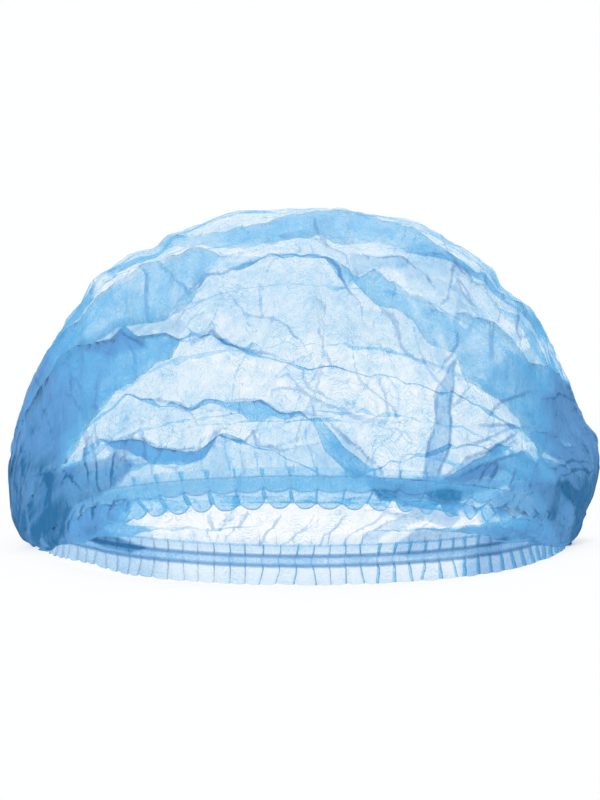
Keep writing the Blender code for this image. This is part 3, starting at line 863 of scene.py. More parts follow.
# %% Table of the front's creases
# Each row is how strong the line is, and then its knots in pixels of the photo.
FRONT_CREASES = (
    (0.8, (155, 262), (177, 277), (190, 291), (206, 278), (225, 276), (250, 265), (282, 255), (325, 257)),
    (0.8, (310, 240), (315, 252), (326, 258), (338, 268), (346, 288), (358, 304), (367, 325)),
    (0.7, (325, 232), (327, 244), (338, 250), (346, 257), (351, 274)),
    (0.9, (350, 254), (372, 256), (382, 258), (395, 257), (404, 256), (412, 262), (428, 280), (448, 308)),
    (0.6, (352, 278), (362, 271), (380, 267)),
    (0.6, (385, 317), (396, 324), (400, 340), (410, 355), (427, 365), (436, 366)),
    (0.6, (225, 290), (237, 305), (247, 315), (275, 317), (290, 327), (300, 342), (312, 362)),
    (0.5, (259, 282), (264, 297), (266, 315)),
    (1.0, (118, 334), (150, 337), (195, 339), (204, 336), (214, 331), (232, 345), (262, 354), (302, 366)),
    (0.5, (302, 366), (330, 378), (362, 386), (392, 392)),
    (0.6, (302, 368), (312, 388), (330, 402), (352, 412), (390, 420)),
    (0.6, (320, 326), (321, 332), (323, 340)),
    (0.5, (325, 349), (331, 368)),
    (0.5, (317, 377), (319, 367), (342, 367), (352, 376)),
    (0.7, (372, 365), (380, 380), (385, 400), (385, 417)),
    (0.6, (272, 402), (272, 392), (285, 387), (300, 386), (318, 402), (350, 416), (390, 422), (426, 418)),
    (0.5, (277, 380), (290, 374), (300, 380), (310, 392)),
    (0.8, (209, 401), (247, 401), (262, 402), (280, 413), (300, 412), (322, 420)),
    (0.9, (322, 420), (333, 428), (345, 437), (362, 450), (377, 467), (384, 480)),
    (0.9, (206, 447), (214, 433), (225, 442), (245, 442), (252, 430), (255, 445), (280, 449), (320, 442)),
    (0.9, (105, 439), (139, 441), (158, 448), (182, 451), (206, 447), (217, 434)),
    (0.7, (453, 356), (452, 400), (447, 440), (441, 478)),
    (0.6, (453, 356), (440, 388), (430, 425), (423, 478)),
    (0.6, (452, 408), (462, 396), (472, 384)),
    (0.8, (488, 423), (504, 400), (520, 394), (536, 392)),
    (0.8, (480, 423), (500, 427), (516, 430), (532, 427)),
    (0.7, (455, 450), (478, 443), (500, 436), (520, 430)),
    (0.6, (454, 324), (456, 342), (446, 358), (436, 374)),
    (0.6, (392, 318), (400, 342), (416, 358), (436, 364)),
    (0.8, (406, 252), (430, 253), (454, 264), (476, 282), (490, 285)),
    (0.7, (440, 236), (448, 248), (456, 266), (449, 296), (460, 308)),
    (0.7, (456, 278), (468, 292), (476, 312)),
    (0.9, (464, 252), (486, 272), (508, 292), (520, 304), (528, 318), (540, 340)),
    (0.9, (518, 304), (516, 330), (524, 352)),
    (0.7, (478, 262), (488, 290), (500, 310), (514, 322)),
    (0.6, (498, 276), (506, 300), (530, 322)),
    (0.8, (140, 268), (148, 278), (145, 296), (147, 320)),
    (0.5, (69, 360), (76, 378), (88, 400), (96, 416)),
    (0.6, (86, 416), (90, 440), (94, 462)),
    (0.7, (98, 416), (99, 432), (103, 456)),
    (0.8, (124, 394), (150, 401), (177, 403), (192, 411), (208, 400)),
    (0.5, (112, 436), (132, 422), (150, 421), (166, 408)),
    (0.8, (443, 480), (470, 458), (492, 450), (508, 443), (518, 436)),
    (0.7, (460, 476), (485, 466), (510, 458), (530, 452)),
    (0.7, (228, 542), (238, 528), (246, 512), (240, 516)),
    (0.8, (262, 543), (270, 530), (279, 512)),
    (0.6, (283, 551), (292, 538), (312, 514)),
    (0.4, (296, 532), (318, 518)),
    (0.7, (318, 553), (332, 534), (347, 515)),
    (0.5, (340, 548), (368, 524), (384, 508)),
    (0.5, (218, 545), (222, 528), (226, 514)),
    (0.6, (209, 512), (211, 526), (209, 540)),
    (0.5, (250, 552), (262, 542), (276, 538)),
    (0.5, (362, 541), (380, 523), (400, 515)),
    (0.6, (372, 505), (398, 513), (425, 522)),
    (0.8, (471, 498), (474, 506), (478, 513)),
    (0.9, (489, 499), (494, 507), (500, 516)),
    (0.8, (506, 503), (511, 511), (516, 518)),
    (0.8, (521, 506), (526, 514), (531, 521)),
    (0.7, (532, 506), (536, 512), (540, 517)),
    (0.6, (543, 505), (547, 511), (551, 515)),
    (0.8, (498, 465), (495, 474), (490, 486)),
    (0.8, (516, 469), (511, 480), (506, 490)),
    (0.6, (490, 470), (484, 478), (478, 486)),
    (0.9, (81, 522), (83, 512), (87, 504)),
    (0.9, (92, 524), (95, 512), (101, 501)),
    (0.9, (107, 524), (110, 510), (115, 501), (129, 499)),
    (0.8, (126, 516), (128, 508), (132, 501)),
    (0.8, (71, 535), (73, 522), (76, 511)),
    (0.9, (86, 432), (89, 450), (90, 481)),
    (0.8, (95, 436), (98, 460), (102, 491)),
    (0.7, (117, 448), (114, 466), (113, 486)),
    (0.7, (60, 466), (74, 478), (84, 490)),
    (0.7, (62, 484), (68, 478), (76, 474)),
    (0.6, (500, 532), (530, 540), (556, 546)),
    (0.5, (504, 544), (530, 551), (548, 552)),
    (0.6, (470, 538), (500, 536), (540, 534)),
    (0.8, (441, 236), (449, 253), (456, 261), (468, 271), (476, 283), (488, 286)),
    (0.7, (456, 281), (466, 295), (474, 308), (478, 317)),
    (0.7, (496, 294), (499, 311), (500, 326)),
    (0.7, (519, 339), (529, 332)),
    (0.6, (491, 321), (488, 340), (487, 360)),
    (0.6, (376, 304), (381, 316), (391, 319), (398, 331), (400, 342), (408, 351), (418, 359)),
    (0.7, (117, 327), (129, 336), (143, 343), (150, 348)),
    (0.5, (210, 317), (215, 326), (218, 336)),
    (0.4, (167, 315), (184, 295), (203, 291), (213, 281)),
    (0.4, (174, 329), (187, 307), (208, 298)),
    (0.4, (181, 332), (193, 315), (206, 308)),
    (0.6, (540, 400), (560, 396), (584, 402)),
    (0.6, (548, 470), (566, 462), (590, 464)),
    (0.7, (556, 478), (570, 470), (596, 474)),
    (0.6, (40, 372), (44, 400), (50, 430)),
    (0.5, (60, 386), (74, 400), (88, 424)),
    (0.5, (100, 372), (96, 392), (92, 414)),
    (0.8, (372, 498), (400, 496), (425, 497), (470, 505)),
    (0.8, (96, 297), (112, 284), (140, 268)),
    (0.7, (90, 300), (98, 280), (108, 262)),
    (0.7, (154, 258), (176, 250), (200, 246)),
)
print("creases in the table:", len(FRONT_CREASES))

# %% [markdown]
# The smaller creases are drawn at random in four sizes. Each wanders over the cloth, and close
# to the welds they point at the weld. Some carry a narrow flap that lies over beside the line.

# %% Random creases
STROKES = (
    # how many, how long, the widest flap and the ridge's height in mm, and the line's strength
    {"count": 36, "length": 50, "flap": 2.4, "height": 0.9, "line": 0.6},
    {"count": 150, "length": 26, "flap": 1.6, "height": 0.6, "line": 0.5},
    {"count": 360, "length": 12, "flap": 0.9, "height": 0.35, "line": 0.42},
    {"count": 360, "length": 6, "flap": 0.0, "height": 0.2, "line": 0.36},
)
STROKE_STEPS = 7
# Closer to a weld than this share of the strip, the paths turn towards it.
WELD_PULL = 0.35


def local_scale(along, across):
    """How many metres of cloth one unit of along and of across takes at each place."""
    a = lift(*disc_place(along + SMALL_STEP, across)) - lift(*disc_place(along - SMALL_STEP, across))
    b = lift(*disc_place(along, across + SMALL_STEP)) - lift(*disc_place(along, across - SMALL_STEP))
    return np.linalg.norm(a, axis=-1) / (2 * SMALL_STEP), np.linalg.norm(b, axis=-1) / (2 * SMALL_STEP)


def stroke_paths(count, length):
    """Random paths over the cloth, as places on the strip."""
    along = rng.uniform(0.05, 0.95, count)
    across = rng.uniform(0.02, 0.98, count)
    towards_weld = np.clip(np.minimum(along, 1 - along) / WELD_PULL, 0.15, 1)
    direction = rng.normal(0, 0.75, count) * towards_weld + np.pi * (rng.random(count) < 0.5)
    direction = np.where(rng.random(count) < 0.35 * towards_weld, direction + np.pi / 2, direction)
    size = length * MM * rng.uniform(0.4, 1.5, count) / STROKE_STEPS
    paths = [np.stack([along, across], axis=-1)]
    for step in range(STROKE_STEPS):
        scale_a, scale_b = local_scale(along, across)
        along = np.clip(along + np.cos(direction) * size / scale_a, 0.01, 0.99)
        across = np.clip(across + np.sin(direction) * size / scale_b, 0.005, 0.995)
        direction = direction + rng.normal(0, 0.4, count)
        paths.append(np.stack([along, across], axis=-1))
    return np.stack(paths, axis=1)


print("random creases:", sum(stroke["count"] for stroke in STROKES))

# %% [markdown]
# A crease is a line, the ridge under it and, for some, a flap on one side. Each point near it
# finds its distance to the path, measured along the cloth, and the crease fades at both ends.

# %% Drawing the creases
RIDGE_WIDTH = 1.6 * MM
TABLE_RIDGE = 0.6
# How far a line is full on each side of its crease. The table's lines are the wider ones, so that
# none of them falls between the mesh's points.
LINE_CORE = 0.28 * MM
TABLE_LINE_CORE = 0.62 * MM
WEAKEST_LINE = 0.45
LEAST_FLAP = 0.3 * MM
FLAP_EDGE = 0.8 * MM
FLAP_LAYERS = 1.6
FLAP_SLOPE = 0.25
UPWARD_SHARE = 0.6


def draw_crease(half, path, strength, height, flap, core=LINE_CORE):
    """Adds one crease to a half of the crown: its line, its ridge and the flap beside it."""
    knots = lift(*disc_place(path[:, 0], path[:, 1]))
    reach = max(3 * RIDGE_WIDTH, flap + 2 * FLAP_EDGE)
    low, high = knots.min(axis=0) - reach, knots.max(axis=0) + reach
    inside = ((half["crinkled"] > low) & (half["crinkled"] < high)).all(axis=2)
    spots, outwards = half["crinkled"][inside], half["normals"][inside]
    if len(spots) == 0:
        return
    best = np.full(len(spots), 1.0)
    place = np.zeros(len(spots))
    right = np.zeros(len(spots), dtype=bool)
    for index, (begin, stop) in enumerate(zip(knots, knots[1:])):
        run = stop - begin
        share = np.clip((spots - begin) @ run / (run @ run + 1e-12), 0, 1)
        away = spots - begin - share[:, None] * run
        away -= np.einsum("ij,ij->i", away, outwards)[:, None] * outwards
        distance = np.linalg.norm(away, axis=1)
        closer = distance < best
        best = np.where(closer, distance, best)
        place = np.where(closer, (index + share) / (len(knots) - 1), place)
        turn = np.einsum("ij,ij->i", np.cross(run[None, :], away), outwards)
        right = np.where(closer, turn < 0, right)
    taper = np.clip(np.sin(np.pi * place), 0, 1) ** 0.5
    half["relief"][inside] += height * taper * np.exp(-best / RIDGE_WIDTH)
    weight = strength * taper
    lines = np.maximum(best - core, 0) / MM / (0.5 + 0.5 * weight) + WEAKEST_LINE * (1 - weight)
    half["crease"][inside] = np.minimum(half["crease"][inside], lines)
    if flap > LEAST_FLAP:
        width = flap * taper**2
        over = right * smooth_step((width - best) / FLAP_EDGE + 0.5) * (width > LEAST_FLAP)
        half["relief"][inside] += over * FLAP_SLOPE * np.maximum(width - best, 0)
        half["layers"][inside] += over * FLAP_LAYERS


for strength, *knots in FRONT_CREASES:
    path = np.array([strip_place(x, y) for x, y in knots])
    draw_crease(front, path, strength, TABLE_RIDGE * strength * MM, 0, TABLE_LINE_CORE)
for stroke in STROKES:
    for path in stroke_paths(stroke["count"], stroke["length"]):
        strength = rng.uniform(0.3, 1.0)
        side_up = 1 if rng.random() < UPWARD_SHARE else -1
        flap = stroke["flap"] * max(rng.normal(0.0, 0.5), 0) * MM
        height = side_up * strength * stroke["height"] * MM
        for half in halves.values():
            draw_crease(half, path, strength * stroke["line"], height, flap)
print("relief with creases, mm:", {side: round(float(np.ptp(half["relief"])) * 1000, 1)
                                   for side, half in halves.items()})

# %% [markdown]
# The cap's edge against the white isn't quite smooth. A few soft bumps and hollows, read from
# the photo, give it the same unevenness.

# %% Bumps along the edge
BUMPS = (
    # where the cap's edge shows in the photo, how far the bump reaches in pixels, its height in mm
    {"at": (98, 280), "reach": 22, "height": 4.0},
    {"at": (150, 242), "reach": 16, "height": -3.6},
    {"at": (508, 286), "reach": 18, "height": -3.2},
    {"at": (230, 214), "reach": 20, "height": 1.2},
    {"at": (334, 208), "reach": 28, "height": -1.3},
    {"at": (410, 219), "reach": 18, "height": 1.4},
)
for half in halves.values():
    across_picture, down_picture = in_picture(half["points"])
    for bump in BUMPS:
        away = np.hypot(across_picture - bump["at"][0], down_picture - bump["at"][1])
        half["relief"] += bump["height"] * MM * np.exp(-((away / bump["reach"]) ** 2))
print("bumps:", len(BUMPS))

# %% [markdown]
# Close to the hem the elastic has drawn the cloth up into one small pleat for each pleat of the
# ruffle. They fade as the cloth climbs.

# %% Gathers over the hem
GATHERS = {
    "front": {"reach": 7 * MM, "depth": 0.5 * MM, "line": 0.45, "core": 0.35, "layers": 0.6},
    "rear": {"reach": 22 * MM, "depth": 1.0 * MM, "line": 0.7, "core": 0.60, "layers": 0.6},
}
# The shares of a gather's pitch over which it rises and returns, where its edge lies, and how
# far from the edge its shade reaches.
RISE = 0.78
RETURN = 0.22
EDGE_TURN = 0.61
EDGE_SHADE = 0.24
HOLD_REACH = 14 * MM


def pleat_wave(turn):
    """The push of a knife pleat at a number of turns: a slow rise and a quick return."""
    phase = turn % 1
    return np.where(phase < RISE, 2 * phase / RISE - 1, 1 - 2 * (phase - RISE) / RETURN)


for side, half in halves.items():
    a, b = half["a"], half["b"]
    gather = GATHERS[side]
    distance = (half["across"] if side == "front" else 1 - half["across"]) * room[:, None]
    turn = (half["along"] - END_GAP) / (1 - 2 * END_GAP) * PLEATS_ON_HEM[side]
    turn = turn + soft_noise(a, b, 40 * MM, 51) * distance / (30 * MM)
    reach_noise = 0.6 + 0.4 * soft_noise(a, b * 0.2, 9 * MM, 52)
    fade = np.exp(-((distance / gather["reach"]) ** 1.5)) * reach_noise
    half["gathers"] = gather["depth"] * fade * pleat_wave(turn)
    pitch = length_of(end_line) / PLEATS_ON_HEM[side] / MM
    edge_distance = np.abs((turn + EDGE_TURN) % 1 - 0.5) * pitch
    lines = np.maximum(edge_distance - gather["core"], 0) / (fade * gather["line"] + 0.02)
    half["crease"] = np.minimum(half["crease"], lines + 0.3 * (1 - fade))
    half["layers"] += gather["layers"] * fade * smooth_step(1.2 - edge_distance / (EDGE_SHADE * pitch))
    half["hold"] = smooth_step(distance / HOLD_REACH)
    print(side, "gathers, mm:", round(half["gathers"].min() * 1000, 2), "to",
          round(half["gathers"].max() * 1000, 2))

# %% [markdown]
# At the welds all lines run together, and the cloth has fine ribs that point at the weld. Some
# are only pushed out, and the others are drawn as lines.

# %% Ribs at the welds
RIBS = 38
RIB_WANDER = 1.4
RIB_REACH = 0.10
COARSE_RIB, FINE_RIB = 0.8 * MM, 0.4 * MM
for side, half in halves.items():
    a, b = half["a"], half["b"]
    to_weld = np.minimum(half["along"], 1 - half["along"])
    near_weld = np.exp(-to_weld / RIB_REACH)
    half["ribs"] = COARSE_RIB * near_weld * soft_noise(half["along"] * 14 * MM, half["across"], 0.011, 61)
    half["ribs"] += FINE_RIB * near_weld * soft_noise(half["along"] * 20 * MM, half["across"], 0.005, 62)
    rib = half["across"] * RIBS + RIB_WANDER * soft_noise(a, b, 16 * MM, 63)
    rib_distance = np.abs(rib % 1 - 0.5) * room[:, None] / RIBS / MM
    rib_strength = smooth_step(1.25 - to_weld / 0.17) * (0.5 + 0.4 * soft_noise(a, b, 10 * MM, 64))
    half["crease"] = np.minimum(half["crease"], rib_distance / (0.8 * rib_strength + 0.02))
    print(side, "ribs, mm:", round(half["ribs"].min() * 1000, 2), "to", round(half["ribs"].max() * 1000, 2))

# %% [markdown]
# Everything so far is a push along the cloth's outward direction. It is eased off towards the
# seat, where the hem holds the cloth, and towards the welds. Where the cloth leans away from
# the smooth crown, light has a longer way through it, so the slope counts as extra layers too.
# So do the closed pleats near the welds. Cloth that leans upwards gets fewer layers, which is
# painted light, as though it fell from above.

# %% Slope and sheets


def slope_of(points, normals):
    """How far each point's own direction leans from the smooth one, in all and upwards."""
    right = np.gradient(points, axis=0)
    up = np.gradient(points, axis=1)
    own = np.cross(right, up)
    own /= np.linalg.norm(own, axis=-1, keepdims=True) + 1e-12
    own *= np.sign(np.einsum("ijk,ijk->ij", own, normals))[..., None]
    facing = np.einsum("ijk,ijk->ij", own, normals)
    return np.sqrt(np.clip(1 - facing**2, 0, 1)), own[..., 2] - normals[..., 2]


def sheet_piece(name, points, cloth, values):
    """A mesh for a grid of points, with the cloth's coordinates as UV map and values as attributes."""
    columns, rows = points.shape[:2]
    number = np.arange(columns * rows).reshape(columns, rows)
    corners = [number[:-1, :-1], number[1:, :-1], number[1:, 1:], number[:-1, 1:]]
    faces = np.stack(corners, axis=-1).reshape(-1, 4)
    mesh = bpy.data.meshes.new(name)
    mesh.from_pydata(points.reshape(-1, 3), [], faces)
    mesh.shade_smooth()
    layer = mesh.uv_layers.new(name="cloth")
    layer.data.foreach_set("uv", cloth.reshape(-1, 2)[faces.reshape(-1)].reshape(-1).astype(np.float32))
    for value_name, value in values.items():
        attribute = mesh.attributes.new(value_name, "FLOAT", "POINT")
        attribute.data.foreach_set("value", value.reshape(-1).astype(np.float32))
    piece = bpy.data.objects.new(name, mesh)
    bpy.context.collection.objects.link(piece)
    return piece


def measures(piece):
    """A piece's triangles and its area in square metres, in words."""
    triangles = sum(len(face.vertices) - 2 for face in piece.data.polygons)
    area = sum(face.area for face in piece.data.polygons)
    return f"{piece.name}: {triangles} triangles, {area:.5f} m2"


print("sheet helpers ready")

# %% [markdown]
# Each half of the crown becomes one mesh. It carries the distance to the nearest crease and the
# number of extra layers as attributes, and the cloth's own coordinates as its UV map. The
# layers also hold painted light: fewer of them where the cloth leans upwards.

# %% The crown's mesh
# Extra layers towards the welds: how many, how far off they start and over how long a way they
# grow, both as shares of the way from weld to weld.
END_LAYERS = ((8.0, 0.17, 0.13), (2.0, 0.30, 0.12))
SLOPE_LAYERS = 2.2
# How many layers come off where the cloth leans upwards: painted light from above
UPWARD_PAINTED_LIGHT = 1.2
STREAKS = 0.35
STREAKS_START, STREAKS_GROWTH = 0.40, 0.30
MOST_LAYERS = 14.0
FEWEST_LAYERS = -0.94
CALM_END = 0.06
# The rear half's cloth coordinates start well past the front half's, so that no pattern repeats.
REAR_CLOTH_START = 0.3
crown = {}
for side, half in halves.items():
    to_weld = np.minimum(half["along"], 1 - half["along"])
    calm_end = smooth_step(to_weld / CALM_END)
    relief = half["relief"] * half["hold"] * (0.35 + 0.65 * calm_end)
    push = half["lift"] + relief + half["gathers"] + half["ribs"]
    points = half["points"] + half["normals"] * push[..., None]
    slope, upwards = slope_of(points, half["normals"])
    layers = half["layers"]
    for many, first_place, growth in END_LAYERS:
        layers = layers + many * smooth_step((first_place - to_weld) / growth)
    # Taking layers off where the cloth leans upwards is painted light, not fewer layers of cloth
    layers = layers + SLOPE_LAYERS * (slope - slope.mean()) - UPWARD_PAINTED_LIGHT * upwards
    streaks = soft_noise(half["along"] * 8 * MM, half["across"], 0.012, 65)
    streaks = streaks + 0.6 * soft_noise(half["along"] * 20 * MM, half["across"], 0.005, 66)
    streaks = STREAKS * streaks * smooth_step((STREAKS_START - to_weld) / STREAKS_GROWTH)
    layers = layers * (1 + streaks)
    layers = np.clip(layers, FEWEST_LAYERS, MOST_LAYERS)
    steps_across = np.linalg.norm(np.diff(half["points"], axis=1), axis=2)
    cloth_across = np.concatenate([np.zeros((COLUMNS + 1, 1)), np.cumsum(steps_across, axis=1)], axis=1)
    if side == "rear":
        cloth_across = cloth_across + REAR_CLOTH_START
    cloth = np.stack([half["a"], cloth_across], axis=-1)
    values = {"crease": half["crease"], "layers": layers}
    crown[side] = sheet_piece(f"crown_{side}_cloth", points, cloth, values)
    print(measures(crown[side]))

# %% [markdown]
# ## The hems
# Each hem is the strip's edge, folded double round the elastic. From the seat the cloth runs
# down outside the elastic to the free edge of the ruffle, turns, and runs up again inside it.
# It is drawn up in small knife pleats, whose edges show as thin dark lines. The rear hem has a
# wider elastic and rounder, larger pleats.

# %% Table of the hems' styles
# depth is how deep the pleats are in mm, overlap how far each lies over the next in pitches, and
# forward and back are the columns on a pleat's two runs. scallop is how far the free edge is drawn
# up between pleats and flare how far it stands out, both in mm, and slant how far pleats lean along
# the rim in pitches. end_lift is how many mm the free edge rises beside the two ends.
# layers, grip, free_layers, upper_layers and end_layers are extra layers: everywhere, at the
# elastic, towards the free edge, towards the seat and at the welds. edge, channel and free are how
# wide the lines of the pleats, of the elastic's channel and of the free edge are, and channel_dark
# how much darker the channel's line is than the others. The last three go to the cloth's material.
HEM_STYLE = {
    "front": {"depth": 0.9, "overlap": 0.045, "forward": 7, "back": 3, "scallop": 0.7, "flare": 1.7,
              "slant": 0.30, "layers": 0.0, "grip": 0.8, "edge": 0.6, "channel": 1.2, "free": 0.3,
              "channel_dark": 0.32, "free_layers": 0.8, "upper_layers": 2.6,
              "end_layers": 3.0, "end_lift": 2.0, "cover": 0.09, "line_cover": 0.33, "deepest": 22.0},
    "rear": {"depth": 1.2, "overlap": 0.050, "forward": 14, "back": 3, "scallop": 5.8, "flare": -9.0,
             "slant": 0.10, "layers": 0.1, "grip": 2.2, "edge": 1.0, "channel": 0.5, "free": 1.8,
             "channel_dark": 0.0, "free_layers": 1.1, "upper_layers": 0.3,
             "end_layers": 7.0, "end_lift": 0.0, "cover": 0.15, "line_cover": 0.40, "deepest": 16.0},
}
STITCH_LEVELS = {"front": (3.4 * MM, 4.3 * MM), "rear": ()}
print("hem styles:", ", ".join(HEM_STYLE))

# %% [markdown]
# The hems have dark fields too: their ends, where the pleats crowd together, and the stretch
# where the rear elastic is drawn tight.

# %% Table of patches on the hems
# As on the crown: name, extra layers, how many pixels the edge takes to fade in, and outline.
HEM_PATCHES = {
    "front": (
        ("left end", 3.2, 60, (
            (0, 500), (130, 500), (168, 600), (0, 600))),
        ("wedge", 12, 4, (
            (82, 530), (92, 528), (106, 532), (122, 539), (146, 548), (130, 553), (104, 547), (86, 539))),
        ("right end", 5.4, 18, (
            (470, 600), (462, 566), (478, 548), (490, 520), (600, 500), (620, 600))),
        ("panels right of the opening", 3, 5, (
            (392, 550), (400, 538), (415, 531), (434, 527), (452, 530), (470, 526), (500, 524),
            (500, 556), (460, 554), (430, 556), (405, 557))),
    ),
    "rear": (
        ("elastic drawn tight", 6, 4, (
            (366, 478), (400, 480), (440, 476), (476, 474), (510, 478), (500, 488), (478, 492),
            (464, 498), (456, 508), (440, 509), (424, 506), (400, 503), (382, 500), (372, 493))),
        ("first dark knot", 12, 4, (
            (374, 490), (384, 489), (396, 492), (396, 500), (380, 500))),
        ("second dark knot", 12, 5, (
            (428, 492), (444, 489), (462, 492), (458, 504), (444, 509), (430, 504))),
    ),
}
for side, patches in HEM_PATCHES.items():
    print(f"{side} hem's patches:", ", ".join(patch[0] for patch in patches))

# %% [markdown]
# A knife pleat runs forward, folds, and runs back a little under the next one. So the columns
# along the rim go forward and back too. At the elastic they are evenly spaced instead, because
# the cloth is held there.

# %% Pleats along the rim
FORWARD_SHARE = 0.97
BACK_SHARE = 0.03


def hem_columns(side):
    """Places along the rim in pleats, folded and flat, the lift between layers, and the folds."""
    style = HEM_STYLE[side]
    places, flat, lifts, folds = [0.0], [0.0], [-1.0], [0.0]
    for pleat in range(PLEATS_ON_HEM[side]):
        overlap = style["overlap"] * (0.5 + rng.random())
        last = pleat == PLEATS_ON_HEM[side] - 1
        top = pleat + 1 + (0 if last else overlap)
        start = places[-1]
        for step in range(1, style["forward"] + 1):
            places.append(start + (top - start) * step / style["forward"])
            flat.append(pleat + FORWARD_SHARE * step / style["forward"])
            lifts.append(2 * step / style["forward"] - 1)
        for step in range(1, style["back"] + 1 if not last else 0):
            places.append(top - 2 * overlap * step / style["back"])
            flat.append(pleat + FORWARD_SHARE + BACK_SHARE * step / style["back"])
            lifts.append(1 - 2 * step / style["back"])
        folds.append(top)
    return np.array(places), np.array(flat), np.array(lifts), np.array(folds)


hem_grids = {side: hem_columns(side) for side in ("front", "rear")}
for side, columns in hem_grids.items():
    print(side, "hem's columns:", len(columns[0]))

# %% [markdown]
# The rows run from the seat down the outer wall to the free edge and up the inner wall. What a
# row does depends on its level: the elastic grips it, or it stands free below or leads up to the
# seat.

# %% Rows of the hems
HEM_FOLD_ROWS = 30
INNER_SHARE = 0.97
GRIP_REACH = 1.2 * MM
CHANNEL_GAP = 0.6 * MM


def hem_rows(side, columns):
    """For each point of a hem's grid: its level, its wall, and how much each part holds it."""
    level_down = np.linspace(1, 0, HEM_FOLD_ROWS)
    outer = HEM_HEIGHT * level_down
    inner = HEM_HEIGHT * INNER_SHARE * level_down[::-1][1:]
    level = np.repeat(np.concatenate([outer, inner])[None, :], columns, axis=0)
    above = level - ELASTIC_LEVEL
    half_elastic = ELASTIC_WIDTH[side] / 2
    return {
        "level": level,
        "wall": np.concatenate([np.ones(len(outer)), -np.ones(len(inner))])[None, :],
        "down": np.concatenate([HEM_HEIGHT - outer, HEM_HEIGHT + inner]),
        "above": above,
        "grip": np.exp(-((above / (half_elastic + GRIP_REACH)) ** 4)),
        "free": np.clip(-above / ELASTIC_LEVEL, 0, 1),
        "upper": np.clip(above / (HEM_HEIGHT - ELASTIC_LEVEL), 0, 1),
        "channel": np.abs(np.abs(above) - half_elastic - CHANNEL_GAP),
    }


print("hem's rows:", 2 * HEM_FOLD_ROWS - 1)

# %% [markdown]
# The points lie on the rim's oval, pushed out and in by the pleats, the gap between the two
# walls, the flare of the ruffle and a fine ripple. The free edge is drawn up in scallops between
# the pleats.

# %% Points of the hems
WELD_HALF = 3.8 * MM
LEAN_NOISE = 7 * MM
RIPPLE = 0.3 * MM
CHANNEL_WIDTH = 0.45 * MM
EDGE_ROUNDING = 0.6 * MM
SCALLOP_POWER = 2.4
# Beside the ends the free edge rises: where, over how wide a share of the rim, and how much.
RAISED_PLACES = ((0.18, 0.06, 1.0), (0.86, 0.05, 0.4))


def free_edge_rise(side, places):
    """How far the free edge is drawn up at each column."""
    style = HEM_STYLE[side]
    scallop = style["scallop"] * MM * np.abs(2 * (places % 1) - 1) ** SCALLOP_POWER
    scallop = scallop * (0.8 + 0.4 * soft_noise(places * 9 * MM, places * 0, 9 * MM, 73))
    scallop = scallop + 0.4 * MM * np.clip(soft_noise(places * 5 * MM, places * 0, 4 * MM, 74), 0, 1)
    share = places / PLEATS_ON_HEM[side]
    ends = sum(part * np.exp(-(((share - place) / width) ** 2)) for place, width, part in RAISED_PLACES)
    return scallop + style["end_lift"] * MM * ends


def turn_on_rim(side, places, flat, rows):
    """The angle round the rim of each point, which leans and spreads away from the elastic."""
    slant = soft_noise(places[:, None] * 5 * MM, rows["level"] * 0.6, LEAN_NOISE, 72)
    slant = slant * np.abs(rows["above"]) / ELASTIC_LEVEL
    folded = places[:, None] + (flat - places)[:, None] * rows["grip"]
    turned = np.clip((folded + HEM_STYLE[side]["slant"] * slant) / PLEATS_ON_HEM[side], 0, 1)
    first = math.pi if side == "front" else 0.0
    margin = WELD_HALF / HALF_RIM[1]
    return first + margin + (math.pi - 2 * margin) * turned


def hem_points(side, places, flat, lifts, rows):
    """The hem's grid of points."""
    style = HEM_STYLE[side]
    level, grip, free, upper = rows["level"], rows["grip"], rows["free"], rows["upper"]
    depth = style["depth"] * MM * (0.25 + 0.75 * free - 0.2 * grip)
    depth = depth + 0.3 * MM * upper
    layer = rows["wall"] * (0.35 * MM + 0.55 * MM * grip - 0.15 * MM * free)
    layer = layer * (1 - 0.6 * np.exp(-((rows["channel"] / CHANNEL_WIDTH) ** 2)))
    layer = layer * (1 - np.exp(-level / EDGE_ROUNDING))
    flare = style["flare"] * MM * free**1.3 + (SEAT_OUTWARD - 1.1 * MM) * upper**1.5
    ripple = RIPPLE * soft_noise(places[:, None] * 3 * MM, level, 2.5 * MM, 71)
    outward = flare + layer + depth * lifts[:, None] * (1 - 0.9 * grip) + ripple
    turn = turn_on_rim(side, places, flat, rows)
    x = (HALF_RIM[0] + outward) * np.cos(turn)
    y = (HALF_RIM[1] + outward) * np.sin(turn)
    height = level + free_edge_rise(side, places)[:, None] * (1 - level / HEM_HEIGHT) ** 2
    return np.stack([x, y, height], axis=-1)


def hem_cloth(points, rows):
    """Each point's place on the flat cloth: along the strip and down from the seat."""
    steps = np.linalg.norm(np.diff(points[:, HEM_FOLD_ROWS], axis=0), axis=1)
    strip = np.concatenate([[0], np.cumsum(steps)])
    return np.stack(np.broadcast_arrays(strip[:, None], rows["down"][None, :]), axis=-1)


print("rise between scallops, mm:", {side: style["scallop"] for side, style in HEM_STYLE.items()})

# %% [markdown]
# The lines lie along the pleats' folds, along both sides of the elastic's channel, at the free
# edge and, on the front hem, along two rows of stitches.

# %% The two hems
END_REACH = 0.08
FOLD_SHADE = 0.5


